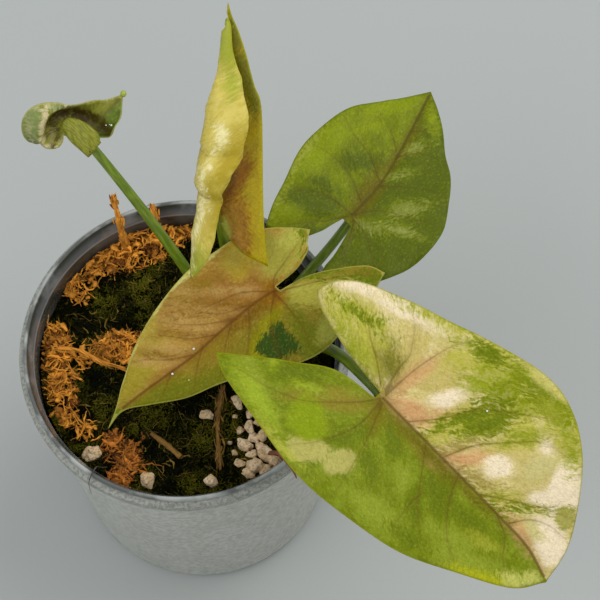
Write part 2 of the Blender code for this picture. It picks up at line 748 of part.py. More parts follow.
def make_pumice(parts):
    """A heap of grains grown together on a low bed, and a few that lie alone."""
    white = make_material("pumice", (0.62, 0.55, 0.45), 0.9)
    grains = []
    for index, (x, y) in enumerate(PUMICE_PLACES):
        middle = (x, y, resting_height(x, y, PUMICE_RADIUS) + 0.3)
        sizes = (PUMICE_RADIUS * 1.25, PUMICE_RADIUS, PUMICE_RADIUS * 0.85)
        grains.append(lumpy_ball(f"pumice_{index}", middle, sizes, 40 + index, parts))
    x, y = PUMICE_BED
    bed = PUMICE_RADIUS * 0.6
    middle = (x, y, resting_height(x, y, bed, 9.5))
    heap = lumpy_ball("pumice_heap", middle, (10.5, 5.5, bed), 7, parts, 90)
    fuse(heap, grains)
    finish_fused(heap, white)
    for index, (name, ((x, y), radius)) in enumerate(LOOSE_GRAINS.items()):
        middle = (x, y, resting_height(x, y, radius))
        grain = lumpy_ball(name, middle, (radius * 1.2, radius, radius * 0.95), 60 + index, parts)
        grain.data.materials.append(white)


def make_small_pieces(parts, fibre):
    """Stick, brown strand, husk flakes, dry sheath tip and stray root."""
    brown = make_material("husk", (0.30, 0.13, 0.05), 0.85)
    dark = make_material("root_hair", (0.05, 0.045, 0.04), 0.7)
    for name, (route, thick, thin) in LYING_RODS.items():
        points = smooth_run([(*place, 0) for place in route], 4)
        radii = lerp_list(thick, thin, len(points))
        make_rod(name, resting_rod(points, radii), radii, parts, fibre if name == "brown_strand" else brown)
    for index, (name, ((x, y), reach, heading)) in enumerate(HUSK_FLAKES.items()):
        middle = (x, y, resting_height(x, y, HUSK_THICKNESS, reach[0]))
        flake = lumpy_ball(name, middle, (*reach, HUSK_THICKNESS), 80 + index, parts, heading)
        flake.data.materials.append(brown)
    sheath = over_lip(*SHEATH_ROUTE)
    make_rod("dry_sheath_tip", sheath, lerp_list(0.95, 0.35, len(sheath)), parts, brown)
    root = over_lip(*STRAY_ROOT_ROUTE)
    make_rod("stray_root", root, lerp_list(0.45, 0.35, len(root)), parts, dark)


def main():
    clear_scene()
    parts = bpy.data.collections.new("arrowhead_plant")
    cutters = bpy.data.collections.new("cutters")
    bpy.context.scene.collection.children.link(parts)
    bpy.context.scene.collection.children.link(cutters)
    make_pot(parts, cutters)
    hole = make_stem_cutter(cutters)
    make_growing_mix(parts, hole)
    make_moss(parts, hole)
    make_stem(parts)
    make_leaves(parts)
    fibre = make_material("fibre", (0.42, 0.17, 0.05), 0.9)
    for seed, name in enumerate(FIBRE_CLUMPS):
        make_fibre_clump(name, parts, fibre, 11 + seed)
    make_pumice(parts)
    make_small_pieces(parts, fibre)


main()
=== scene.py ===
"""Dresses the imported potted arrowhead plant: painted blades, petioles, moss, fibre, grains and the clear pot."""

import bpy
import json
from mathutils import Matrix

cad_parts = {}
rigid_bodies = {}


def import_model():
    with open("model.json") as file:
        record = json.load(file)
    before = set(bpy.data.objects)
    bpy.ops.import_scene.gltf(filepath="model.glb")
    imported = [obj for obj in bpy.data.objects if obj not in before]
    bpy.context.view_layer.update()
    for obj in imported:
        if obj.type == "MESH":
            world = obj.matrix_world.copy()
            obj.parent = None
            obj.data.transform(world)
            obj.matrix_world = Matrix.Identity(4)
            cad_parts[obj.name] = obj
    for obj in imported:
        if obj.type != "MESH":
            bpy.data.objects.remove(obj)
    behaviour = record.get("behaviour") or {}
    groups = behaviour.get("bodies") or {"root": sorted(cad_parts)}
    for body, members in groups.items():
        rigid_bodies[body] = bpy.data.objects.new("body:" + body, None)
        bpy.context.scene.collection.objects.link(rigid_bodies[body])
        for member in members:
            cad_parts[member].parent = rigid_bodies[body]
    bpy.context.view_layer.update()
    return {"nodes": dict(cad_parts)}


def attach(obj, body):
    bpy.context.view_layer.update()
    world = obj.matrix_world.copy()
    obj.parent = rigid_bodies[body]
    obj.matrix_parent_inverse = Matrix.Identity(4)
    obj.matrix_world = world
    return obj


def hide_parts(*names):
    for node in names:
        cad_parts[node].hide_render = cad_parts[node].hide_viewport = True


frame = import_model()

import json
import math
import random

import bmesh
import bpy
import numpy as np
from bpy.props import FloatProperty, FloatVectorProperty, IntProperty, PointerProperty
from mathutils import Matrix, Vector, noise
from mathutils.geometry import delaunay_2d_cdt

bl_info = {
    "name": "Potted arrowhead plant",
    "version": (1, 0, 0),
    "blender": (4, 5, 0),
    "location": "View3D > Sidebar > Arrowhead",
    "description": "Builds the blades, petioles, moss, fibre, grains, pot and stage of a potted arrowhead plant",
    "category": "Object",
}

# Lengths in this file are in millimetres until a mesh is made.
MM = 0.001
TURN = 2 * math.pi


def paint(red, green, blue):
    """Linear colour of the one seen on a screen, given from 0 to 255."""
    found = []
    for part in (red, green, blue):
        share = part / 255
        found.append(share / 12.92 if share < 0.04 else ((share + 0.055) / 1.055) ** 2.4)
    return tuple(found)


# Pot, mix and moss, as in the part's source
POT_HEIGHT = 103.0
LIP_RADIUS = 45.0
COLLAR_RADIUS = 46.5
COLLAR_DEPTH = 9.0
BODY_TOP_RADIUS = 43.4
BASE_RADIUS = 39.3
WALL = 1.0
FLOOR_THICKNESS = 1.3
DRAIN_HOLES = 6
DRAIN_HOLE_RADIUS = 3.0
DRAIN_CIRCLE_RADIUS = 24.0
MOSS_TOP = POT_HEIGHT - 12.5
MOSS_RELIEF = 1.1
STEM_PLACE = (18.0, 4.0)
ROOM_RADIUS = LIP_RADIUS - 3.4
SHARP_ANGLE = 38

# Moss: its grid, how far down its carpet reaches, and its sprigs and threads
MOSS_RINGS = 46
MOSS_SECTORS = 150
MOSS_DEPTH = 4.0
SPRIG_REACH = 41.4
SPRIG_LEAVES = 6
THREAD_REACH = 40.0
THREADS = 520

# Fibre: points along a chip, the share that lies beside its clump, how many dark crumbs fill its gaps as painted
# shade, and where they end
CHIP_POINTS = 8
STRAY_SHARE = 0.3
SHADE_CRUMBS = 30
CRUMB_REACH = 39.4
FRAY_TAPER = (0.4, 0.8, 1, 1.1, 1, 0.7, 0.3)

# Husk flakes: curls in each, points along a curl, and chips around it
FLAKE_CURLS = 4
CURL_POINTS = 11
FLAKE_CHIPS = 90

# Grains: flat faces of each
GRAIN_CHIPS = 9

# Blades: parts in each span of the margin and of a vein, and thickness at the margin
MARGIN_PARTS = 7
VEIN_PARTS = 8
MARGIN_THICKNESS = 0.18
FLAP_THICKNESS = 0.3

# Stage, in metres: half the width of the paper, then the camera's place and directions
PAPER_HALF = 2.5
CAMERA_PLACE = (0.0332, -0.2045, 0.6242)
CAMERA_RIGHT = (0.998865, -0.043982, -0.018281)
CAMERA_UP = (0.047629, 0.922363, 0.383376)
SENSOR_WIDTH = 36.0
LAMP_AIM = (0.02, 0.0, 0.1)

# Each blade: where it meets its petiole, where its tip and its face point, how it bends, its
# margin as places across and along the flat blade, its midrib first and then its other veins.
BLADES = {
    "front": {
        "swell": 0.55,
        "gloss": 0.5,
        "shine": 0.12,
        "at": (53.6, -29.1, 133.0),
        "tip_towards": (40.7, -48.5, -15.9),
        "facing": (0.08, -0.25, 0.965),
        "curl": (0.003, 0.003),
        "bow": (0.006, 0.004),
        "fold": 0.10,
        "wave": 0.7,
        "margin": (
            ((1.5, -1.5), (4.5, -13.5), (11.0, -22.0), (16.5, -28.5), (25.0, -37.5)),
            ((25.0, -37.5), (27.5, -31.0), (29.5, -14.0), (30.5, 1.0), (28.2, 15.0), (23.4, 32.0),
             (14.5, 48.0), (6.0, 61.0), (-2.0, 66.6)),
            ((-2.0, 66.6), (-12.0, 63.5), (-21.0, 56.0), (-29.6, 45.5), (-35.2, 34.0), (-35.9, 23.0),
             (-30.6, 7.5), (-24.4, -8.0), (-18.1, -23.0), (-12.0, -30.5), (-6.0, -33.0)),
            ((-6.0, -33.0), (-3.5, -28.0), (-1.2, -15.0), (-0.4, -1.5)),
        ),
        "veins": (
            ((0, 0), (-1, 15), (-2, 28), (-3, 41), (-4, 55), (-2.6, 65)),
            ((0.5, -0.5), (5, -3), (11, -8), (17, -14), (21, -22), (24, -32)),
            ((1, 0), (8, 1), (14, 0), (21, -3), (27, -7)),
            ((1, 1), (10, 5), (19, 8), (27, 10)),
            ((-1, 16), (5, 21), (12, 27), (17, 34)),
            ((9, 25), (13, 25), (20, 26)),
            ((-2, 28), (5, 32), (11, 38), (14, 45)),
            ((-3, 43), (-1, 49), (3, 53), (6, 58)),
            ((-0.5, -1), (-5, -8), (-8, -14), (-11, -19), (-12, -26)),
            ((-1, -1), (-8, -3), (-13, -4), (-19, -9)),
            ((-1, 0), (-12, 0), (-23, 2), (-29, 6)),
            ((-1, 9), (-8, 14), (-16, 18), (-23, 25), (-30, 33)),
            ((-2, 22), (-10, 25), (-17, 30), (-24, 36), (-27, 44)),
            ((-3, 36), (-7, 41), (-13, 49), (-17, 56)),
            ((-4, 47), (-9, 50), (-12, 55), (-13, 60)),
        ),
    },
    "middle": {
        "swell": 0.85,
        "gloss": 0.48,
        "shine": 0.12,
        "at": (25.8, 4.9, 127.0),
        "tip_towards": (-45.0, -27.5, -13.6),
        "facing": (-0.17, -0.2, 0.965),
        "curl": (0.004, 0.006),
        "bow": (0.005, 0.004),
        "fold": 0.10,
        "wave": 0.6,
        "margin": (
            ((0.5, -1.7), (1.0, -9.0), (3.2, -14.5), (5.0, -15.5), (7.5, -18.3)),
            ((7.5, -18.3), (11.5, -14.0), (16.5, -5.0), (18.0, 5.0), (18.3, 14.0), (16.3, 26.0),
             (12.4, 37.0), (6.4, 48.0), (2.3, 54.0), (-0.8, 60.0)),
            ((-0.8, 60.0), (0.2, 53.0), (-3.5, 45.5), (-8.5, 36.0), (-11.5, 26.0), (-16.0, 15.5),
             (-21.0, 5.0), (-22.0, -3.5), (-20.0, -13.5), (-17.5, -21.0), (-14.7, -27.2)),
            ((-14.7, -27.2), (-10.0, -24.5), (-5.0, -16.5), (-2.0, -9.5), (-1.2, -2.0)),
        ),
        "veins": (
            ((0, 0), (0.5, 7), (0, 19), (-0.5, 28), (0.5, 43), (1, 54)),
            ((1, 1), (5, 7), (7, 14), (9, 21)),
            ((1, 7), (4, 15), (10, 21), (15, 25)),
            ((0, 12), (5, 21), (10, 27), (14, 31)),
            ((0, 19), (4, 26), (9, 31), (12, 36)),
            ((0, 28), (3, 34), (7, 39), (9, 43)),
            ((0, -0.5), (3, -3), (5, -9), (7, -15)),
            ((-0.5, -1), (-3, -6), (-6, -13), (-10, -20), (-14, -25)),
            ((-1, 0), (-5, 4), (-11, 7), (-18, 9)),
            ((-1, -0.5), (-7, -1), (-14, -1), (-20, 1)),
            ((0, 8), (-6, 12), (-12, 17)),
            ((0, 14), (-5, 20), (-10, 25)),
            ((0, 24), (-4, 29), (-8, 33)),
            ((0, 35), (-3, 40), (-4, 43)),
        ),
    },
    "back": {
        "swell": 0.6,
        "gloss": 0.45,
        "shine": 0.15,
        "at": (48.7, 28.5, 123.0),
        "tip_towards": (23.7, 35.4, 1.9),
        "facing": (0.04, -0.08, 0.996),
        "curl": (0.003, 0.003),
        "bow": (0.004, 0.004),
        "fold": 0.06,
        "wave": 0.6,
        "margin": (
            ((1.6, -3.0), (1.8, -12.0), (1.2, -17.0), (2.5, -19.5)),
            ((2.5, -19.5), (8.5, -18.5), (15.0, -14.5), (20.5, -7.5), (23.5, 0.0), (24.0, 8.5),
             (21.0, 17.0), (17.5, 24.0), (13.0, 29.5), (8.5, 36.0), (4.0, 41.0), (-0.6, 45.3)),
            ((-0.6, 45.3), (-5.0, 40.5), (-11.0, 34.5), (-17.0, 27.0), (-21.0, 16.5), (-22.0, 9.0),
             (-21.0, -1.0), (-20.0, -9.0), (-18.5, -15.5)),
            ((-18.5, -15.5), (-13.0, -15.0), (-8.0, -12.5), (-4.5, -8.0), (-1.8, -2.0)),
        ),
        "veins": (
            ((0, 0), (1.5, 8), (2, 16), (1.5, 25), (0.5, 35), (-0.4, 44)),
            ((0, 0), (-8, 1), (-15, -1), (-20, -6)),
            ((1, 4), (-7, 10), (-15, 12), (-20, 12)),
            ((2, 12), (-5, 18), (-12, 21), (-17, 24)),
            ((2, 22), (-4, 28), (-9, 31)),
            ((-1, -1), (-5, -5), (-10, -9), (-15, -13)),
            ((1, 1), (6, 5), (13, 7), (22, 9)),
            ((2, 11), (7, 14), (14, 17), (19, 18)),
            ((1.5, 21), (5, 25), (10, 27), (14, 27)),
            ((1, 31), (4, 33), (7, 35)),
            ((1, -1), (6, -3), (10, -7), (15, -12)),
            ((1.5, -2), (3, -7), (5, -15)),
        ),
    },
    "upright": {
        "swell": 0.35,
        "gloss": 0.3,
        "shine": 0.35,
        "at": (12.3, 22.1, 148.0),
        "tip_towards": (6.5, 32.9, 44.5),
        "facing": (-0.05, -0.8, 0.6),
        "curl": (0.0, 0.01),
        "bow": (0.0, 0.006),
        "fold": 0.0,
        "furl": (
            (-19.5, 5.5), (-8.0, 5.3), (0.0, 4.7), (5.5, 4.5), (8.5, 5.2), (14.0, 5.2),
            (18.5, 4.4), (22.0, 4.3),
            (28.0, 3.7), (34.0, 2.6), (38.0, 1.5), (45.0, 0.9), (51.0, 0.35), (56.5, 0.12),
        ),
        "wave": 0.0,
        "margin": (
            ((1.0, -1.5), (1.5, -6.0), (4.0, -10.5), (8.5, -15.0), (15.0, -17.7)),
            ((15.0, -17.7), (13.6, -9.0), (12.4, 2.0), (11.4, 15.0), (10.6, 25.0), (9.7, 31.0), (7.9, 35.0),
             (5.2, 43.5), (2.9, 49.5), (1.0, 53.5), (0.0, 56.7)),
            ((0.0, 56.7), (-1.0, 53.5), (-2.6, 50.0), (-5.0, 44.5), (-9.0, 38.5), (-14.2, 33.5), (-18.8, 28.0),
             (-20.0, 22.0), (-20.2, 14.0), (-18.6, 9.5), (-16.2, 5.0), (-16.0, -1.0), (-16.6, -6.0),
             (-15.6, -12.0), (-11.0, -19.0)),
            ((-11.0, -19.0), (-7.0, -13.5), (-3.5, -6.5), (-1.0, -1.5)),
        ),
        "veins": (
            ((0, 0), (0, 20), (0, 54)),
            ((0.5, 2), (5, 8), (9, 17)),
            ((0, 12), (5, 18), (9, 26)),
            ((0, 24), (4, 30), (7, 36)),
            ((0.5, -0.5), (5, -5), (12, -13)),
            ((-0.5, 2), (-6, 7), (-14, 12)),
            ((0, 12), (-6, 19), (-13, 24)),
            ((0, 24), (-6, 30), (-11, 34)),
            ((-0.5, -0.5), (-6, -5), (-13, -8)),
        ),
    },
    "small": {
        "swell": 0.2,
        "gloss": 0.42,
        "shine": 0.2,
        "at": (-23.0, 43.3, 148.0),
        "tip_towards": (12.0, 9.6, 6.3),
        "facing": (-0.1, -0.45, 0.88),
        "curl": (0.06, 0.2),
        "bow": (0.015, 0.05),
        "fold": 0.0,
        "wave": 0.0,
        "margin": (
            ((0.4, -0.4), (1.4, 0.4), (2.6, 2.4), (3.8, 4.6)),
            ((3.8, 4.6), (5.2, 6.6), (5.5, 8.8), (4.8, 10.6), (3.2, 12.4), (1.6, 14.0), (-0.2, 16.2)),
            ((-0.2, 16.2), (-2.5, 11.9), (-5.2, 9.2), (-8.2, 5.4), (-11.2, 2.7), (-14.0, -0.3), (-15.3, -2.7),
             (-15.0, -5.2), (-13.5, -7.8), (-11.5, -10.0), (-9.5, -11.1)),
            ((-9.5, -11.1), (-8.1, -10.5), (-7.7, -9.0), (-8.0, -7.9)),
            ((-8.0, -7.9), (-6.0, -7.7), (-4.3, -7.0), (-3.1, -5.6), (-3.0, -4.2), (-4.0, -3.0)),
            ((-4.0, -3.0), (-2.6, -2.0), (-0.8, -0.8)),
        ),
        "veins": (
            ((0, 0), (0, 8), (-0.2, 15)),
            ((0, 3), (3, 6), (4.5, 9)),
            ((0, 3), (-3, 6), (-6, 7)),
            ((0, 7), (-2, 10), (-3, 11)),
            ((-0.5, 0), (-5, -1), (-12, -2)),
        ),
    },
}

# How each blade is painted: the two tones of each half (right half, then left half) and of the
# underside, how rich they all are, then layers in order: tone, softness, feathering, holes, and
# patches. A patch is across, along, reach, half width and heading on the flat blade.
PAINT = {
    "front": {
        "right": ((104, 117, 24), (122, 136, 42)),
        "left": ((198, 184, 118), (216, 200, 150)),
        "under": ((150, 160, 90), (126, 142, 70)),
        "vein": (92, 72, 26),
        "edge": (146, 146, 44),
        "layers": (
            ((138, 150, 56), 0.7, 0.6, 0.3, (
                (12, 45, 12, 3, 118), (21, 21, 9, 3, 105), (14, 9, 7, 4, 60),
                (10, 38, 8, 2.4, 110), (22, -28, 8, 4, 70),
                (9, 17, 6, 2, 50),
            )),
            ((94, 108, 4), 0.7, 0.7, 0.1, (
                (14.5, 10.5, 6, 3, 60), (9.5, -20, 6, 3, -55), (24, -30, 6, 2, 80),
                (4, 40, 7, 3, 100), (5, 28, 8, 4, 60), (4, 9, 7, 3, 60), (8, 3, 9, 2.2, 5), (16, 0, 7, 2, -15),
                (2, 20, 8, 2, 80), (14, -19, 9, 3, -62), (19, 31, 6, 2, 110), (13, 27, 5, 2, 40),
            )),
            ((114, 108, 28), 0.8, 0.6, 0.0, ((1.6, 14, 9, 1.8, 88), (3, 2, 6, 3, 30))),
            ((170, 172, 52), 0.5, 0.7, 0.2, ((12.5, 51, 9, 2.4, 123), (7.5, 58.5, 5, 2, 130))),
            ((188, 188, 104), 0.5, 0.6, 0.1, ((1, 62.5, 3.5, 2, 130), (4.5, 60, 4, 1.6, 125))),
            ((134, 124, 48), 0.7, 0.6, 0.0, ((9, -7, 8, 3, -48), (15, -13, 6, 2, -45))),
            ((174, 168, 98), 0.3, 0.4, 0.1, ((20, 4.6, 4.6, 3.2, 160), (23.5, -2.5, 5, 3.6, 130),
             (26, -4, 4, 3, 90))),
            ((146, 162, 56), 0.6, 0.6, 0.0, ((25, -22, 10, 2.4, 82), (14, -27, 3, 1.2, 40),
             (13.5, -15, 3, 1, -60))),
            ((128, 145, 34), 0.4, 0.6, 0.1, ((19.5, -8, 5.4, 4.4, 110), (17.5, -10, 4.6, 4, 60))),
            ((168, 170, 74), 0.4, 0.4, 0.0, ((28.8, -9, 7, 1.1, 92),)),
            ((190, 174, 108), 0.7, 0.6, 0.1, (
                (-12, -3, 9, 4, 30), (-16, 6, 8, 5, 170), (-18, 41, 7, 3.6, 160),
                (-12, 45, 7, 3, 140), (-15, 31, 8, 2, 150),
            )),
            ((116, 112, 42), 0.8, 0.6, 0.0, ((-8, -6, 7, 3.0, 62), (-5, -10, 9, 3.0, 78))),
            ((202, 158, 114), 0.8, 0.6, 0.0, (
                (-3.6, 8, 8, 2.8, 105), (-6, 26, 7, 2.4, 145), (-5, 50, 8, 1.6, 86),
                (-8, 13, 6, 1.4, 140), (-10, 1, 7, 1.6, 175),
            )),
            ((238, 221, 190), 0.4, 0.6, 0.0, (
                (-21, 49.5, 9, 4.8, 42), (-25, 46.5, 5, 2.6, 20), (-9.6, 58.5, 8, 4.6, 75),
                (-24, 37, 3.2, 1.8, 90), (-26, 45.5, 4, 2.6, 40),
                (-20, -13, 11, 2.6, 110), (-13, 11, 4.4, 2, 150), (-11, 33, 4, 3, 150),
                (-16, -24, 8, 1.8, 125), (-15, 47.5, 4, 2, 150),
            )),
            ((176, 172, 80), 0.8, 0.7, 0.3, (
                (-31, 37, 12, 4.4, 68), (-22, 31.5, 10, 3.6, 150), (-13, 20, 14, 4.6, 157),
                (-28, 14, 11, 6, 115),
                (-8, -20, 11, 5.4, 100), (-4, -14, 10, 3, 80), (-24.6, -5, 14, 2, 112), (-6.4, 39, 7, 2, 120),
                (-22, 6, 5, 3, 150), (-27, 26, 7, 4.4, 150),
            )),
            ((142, 150, 48), 0.6, 0.8, 0.4, (
                (-31, 36, 6, 2, 72), (-20, 31, 7, 1.8, 150), (-5, 38.5, 5, 1.4, 125), (-9.4, -22, 7, 1.6, 102),
                (-27, 26, 6, 3, 150),
                (-3.6, -15, 8, 1.8, 82), (-24.8, -7, 11, 1, 112), (-24, 15, 8, 4, 140), (-26, 5, 5, 1.6, 120),
                (-28, 43, 4, 1.6, 50),
            )),
            ((118, 130, 22), 0.5, 0.8, 0.3, (
                (-32, 25, 12, 3.4, 92), (-24, 19.5, 8, 3, 165), (-16, 22.6, 9, 3.4, 155),
                (-13.5, 18, 12, 2, 158),
                (-28, 10, 6, 2.6, 115), (-9, 46.5, 7, 1.0, 138), (-3.6, 42, 4, 1.2, 105), (-34, 34, 4, 1.4, 75),
                (-9.6, -23, 5, 1.0, 98), (-12, -16, 2.4, 1, 130),
            )),
            ((96, 110, 4), 0.5, 0.8, 0.2, (
                (-16.5, 23, 7, 2, 155), (-14, 18.2, 9, 1, 158), (-28, 9.5, 4, 1.8, 110),
                (-8.6, 45.6, 5, 0.7, 138),
                (-31, 28, 5, 1.8, 80), (-9.6, -20, 4, 0.8, 100), (-20, 21, 4, 1.6, 120),
            )),
            ((158, 154, 80), 0.3, 0.5, 0.1, ((-16.6, 56, 3.8, 3, 80),)),
            ((150, 154, 58), 0.5, 0.7, 0.2, ((-30.5, 30.5, 4, 2.2, 80), (4.5, 46, 5, 1.6, 110))),
            ((198, 188, 130), 0.6, 0.6, 0.0, ((-8, 53, 3.4, 2, 100), (-19.5, 40.6, 5, 2.6, 170))),
            ((190, 184, 104), 0.4, 0.5, 0.0, ((-34, 22, 4, 1.2, 95), (-35.6, 28, 5, 0.8, 95))),
            ((156, 138, 78), 0.6, 0.8, 0.2, ((-5, 32, 6, 1.6, 115), (-6, 21.5, 5, 1.2, 150))),
            ((98, 90, 18), 0.6, 0.4, 0.0, ((0.2, 20, 13, 1.5, 94), (-1.4, 34, 8, 1.0, 93))),
        ),
        "rich": 1.08,
    },
    "middle": {
        "rich": 1.08,
        "right": ((158, 126, 60), (174, 142, 78)),
        "left": ((116, 106, 32), (134, 120, 46)),
        "under": ((150, 150, 84), (130, 128, 66)),
        "vein": (98, 62, 24),
        "edge": (176, 172, 92),
        "layers": (
            ((150, 108, 56), 0.8, 0.5, 0.0, ((4, 6, 10, 5, 70), (0, 15, 20, 2.6, 90), (9, 11, 8, 5, 60))),
            ((152, 136, 54), 0.8, 0.5, 0.0, ((6, 43, 12, 4, 105),)),
            ((184, 150, 94), 0.7, 0.8, 0.0, (
                (10, 24, 8, 1.8, 48), (7, 17, 9, 1.3, 48), (5, 32, 6, 1.3, 45),
                (12, 15, 7, 1.3, 50), (6, 24, 7, 1.0, 48),
                (6, 38, 6, 1.2, 45), (5, 6, 5, 1.2, 50),
            )),
            ((132, 96, 42), 0.7, 0.8, 0.0, ((5, 12, 9, 1.0, 50), (8, 20.5, 8, 0.9, 48),
             (8, 28, 7, 0.9, 48), (6, 35, 6, 0.8, 46))),
            ((172, 146, 62), 0.6, 0.5, 0.0, ((13, 2, 6, 4, 150),)),
            ((104, 106, 6), 0.6, 0.6, 0.1, ((-6, 38, 14, 4, -108), (-9.5, 27, 8, 3, -110))),
            ((134, 112, 42), 0.7, 0.6, 0.0, ((-2.6, 21, 10, 2.4, 88),)),
            ((138, 134, 10), 0.6, 0.5, 0.0, ((-7, 6, 5, 1.8, 110), (-12, 13, 6, 2.4, 140))),
            ((112, 84, 26), 0.7, 0.6, 0.0, ((-1.6, 6, 8, 1.6, 92),)),
            ((100, 106, 22), 0.6, 0.6, 0.0, ((-19, 0, 7, 3.6, 170), (-12, -0.4, 6, 1.8, 160))),
            ((146, 148, 66), 0.6, 0.7, 0.0, ((-18.5, -8, 6, 4, 100),)),
            ((160, 154, 72), 0.6, 0.8, 0.0, ((-8, -10, 9, 4.6, 60), (6, -9, 9, 4, 110), (10, -6, 5, 3, 110))),
            ((174, 172, 84), 0.6, 0.7, 0.1, ((-12, -19, 5, 2.4, 50), (9, -13, 4, 2.6, 110),
             (-3, -5, 4, 1, 65))),
            ((96, 114, 16), 0.25, 1.0, 0.3, (
                (8.4, -16.6, 3, 1.8, 160), (-15, -25, 6, 1.6, 60), (3.4, -14, 3, 0.8, 120),
                (-5, -15, 8, 0.8, 62),
                (-11, -21, 7, 1.2, 55), (-20, -17, 8, 1.0, 100),
            )),
            ((204, 198, 122), 0.1, 0.12, 0.0, (
                (17.9, 13, 13, 1.1, 92), (15.5, 29, 8, 0.9, 106), (11.4, 39.4, 6, 0.7, 116),
                (6.6, 47.6, 5, 0.5, 120),
            )),
            ((172, 154, 74), 0.7, 0.6, 0.0, ((13.6, 34, 5, 2.2, 108), (13.8, 1, 5, 2.4, 100))),
            ((138, 108, 44), 0.7, 0.6, 0.0, ((13.5, 14, 4, 2.2, 60),)),
            ((40, 68, 4), 0.3, 0.7, 0.0, ((-12.8, 7.2, 5.2, 4.3, 60), (-9.6, 5, 3, 2, 0),
             (-15.6, 4.4, 3, 2, 30))),
            ((138, 96, 34), 0.8, 0.3, 0.0, ((0, 0, 4, 3, 0),)),
            ((96, 110, 22), 0.5, 0.5, 0.0, ((0, 57, 6, 2, 95),)),
        ),
    },
    "back": {
        "rich": 1.2,
        "right": ((76, 89, 3), (89, 101, 14)),
        "left": ((102, 113, 18), (116, 127, 34)),
        "under": ((132, 144, 84), (116, 128, 66)),
        "vein": (78, 66, 20),
        "edge": (94, 110, 12),
        "layers": (
            ((78, 91, 3), 0.8, 0.8, 0.0, (
                (10, 15, 10, 3, 30), (-12, -3, 9, 4, 15), (14, 24, 10, 4, 115),
                (22, 8, 10, 3, 95), (10, -4, 8, 2, -25),
                (-6, 15, 6, 3, 30), (-13, 3, 7, 1.6, 0), (18, 5, 6, 3, 80), (-5, -10, 5, 3, 20),
                (14, 14, 6, 3, 100),
            )),
            ((98, 92, 24), 0.9, 0.5, 0.0, ((0.5, 7, 11, 3, 91), (1.6, 22, 14, 1.4, 88))),
            ((128, 140, 50), 0.8, 0.8, 0.0, (
                (-17, 13, 13, 3.6, 82), (-8, 35, 9, 3, 50), (-10, 25, 6, 2, 50),
                (-16, -10, 5, 3, 40), (4, 38, 5, 1.6, 130),
            )),
            ((146, 152, 80), 0.5, 0.8, 0.0, ((-21, 6, 12, 1.4, 88), (-19.6, -8, 7, 1.0, 94))),
            # Painted sheen: pale grey-green patches where the blade's gloss catches the light.
            ((136, 142, 84), 0.6, 0.9, 0.3, (
                (12, 9, 5, 2, 40), (5, 17, 3, 1.2, 40), (5, -1, 4, 1.6, 10),
                (14, 2.4, 5, 1.5, 10), (4, 26, 3, 1.3, 60),
            )),
        ),
    },
    "upright": {
        "right": ((176, 152, 14), (188, 164, 30)),
        "left": ((140, 108, 20), (124, 92, 12)),
        "under": ((212, 196, 112), (196, 180, 92)),
        "vein": (136, 104, 34),
        "edge": (172, 168, 58),
        "rich": 1.1,
        "layers": (
            ((178, 132, 62), 0.7, 0.6, 0.0, ((5, -7, 12, 4.6, 98),)),
            ((158, 98, 16), 0.6, 0.7, 0.0, ((5.4, 8, 7, 2.4, 74), (3, 4, 4, 2, 70))),
            ((166, 142, 48), 0.7, 0.4, 0.0, ((3.6, -6.5, 6, 1.6, 100),)),
            # Painted shade: dark brown beside the midrib, where the rolled half shades the blade.
            ((108, 66, 6), 0.6, 0.6, 0.0, ((3, 10, 12, 1.8, 86), (1, 0, 6, 1.6, 90))),
            ((116, 112, 2), 0.5, 0.4, 0.0, ((6, 36, 10, 3, 108), (2.6, 48, 6, 2, 108))),
            ((150, 104, 48), 0.4, 0.8, 0.2, ((5, -8, 8, 0.8, 110), (8, -6, 8, 0.6, 100),
             (2.6, -2, 5, 0.6, 110))),
            ((184, 164, 34), 0.4, 0.5, 0.0, ((12.4, -3, 16, 1.0, 94),)),
            ((158, 168, 74), 0.3, 0.3, 0.0, ((2.2, -6.5, 5, 1.0, 110), (5.4, -13, 5, 0.8, 142))),
            ((88, 104, 22), 0.3, 0.3, 0.0, ((1.6, 53, 5, 1.2, 108), (7.4, 38, 6, 0.5, 108))),
        ),
        "under_layers": (
            ((160, 164, 66), 0.6, 0.6, 0.0, ((-3, 48, 9, 3.4, 70), (-8, 37, 4, 1.6, 50),
             (-12, -15, 8, 3, 100))),
            ((172, 152, 60), 0.8, 0.6, 0.0, ((-18, 17, 9, 2.6, 92), (-15, 6, 9, 2.0, 92),
             (-8.4, 9, 9, 1.6, 90))),
            ((140, 112, 26), 0.7, 0.5, 0.0, ((-6.2, 14, 9, 1.6, 92),)),
            # Painted highlights: near-white streaks for the gloss on the rolled half's underside.
            ((240, 230, 178), 0.5, 0.8, 0.2, (
                (-12.8, 12, 5, 0.7, 90), (-10.6, -3, 8, 0.8, 88), (-13.6, 24, 2.4, 1.2, 60),
                (-11.4, 2, 4, 0.5, 95),
            )),
            # Painted shade: thin dark lines in the creases of the rolled half.
            ((150, 132, 56), 0.2, 0.3, 0.0, ((-13, 6, 6, 0.15, 4), (-14, 18.4, 6, 0.15, -12))),
        ),
    },
    "small": {
        "right": ((66, 88, 12), (96, 114, 30)),
        "left": ((112, 116, 22), (132, 134, 44)),
        "under": ((166, 166, 78), (150, 152, 62)),
        "vein": (96, 92, 30),
        "edge": (170, 164, 92),
        "rich": 1.0,
        "layers": (
            # Painted shade: dark in the hollow beside the crest, under the curled lobe.
            ((60, 42, 4), 0.3, 0.3, 0.0, ((-3, 4.6, 8, 1.8, 18), (-8.0, 1.2, 3.6, 1.6, 60),
             (-8.6, -1.6, 2.4, 1.3, 95))),
            ((140, 130, 78), 0.2, 0.6, 0.3, ((-6.4, -4.8, 2.4, 1.5, 165),)),
            # Painted shade: dark inside the curled-back lobe.
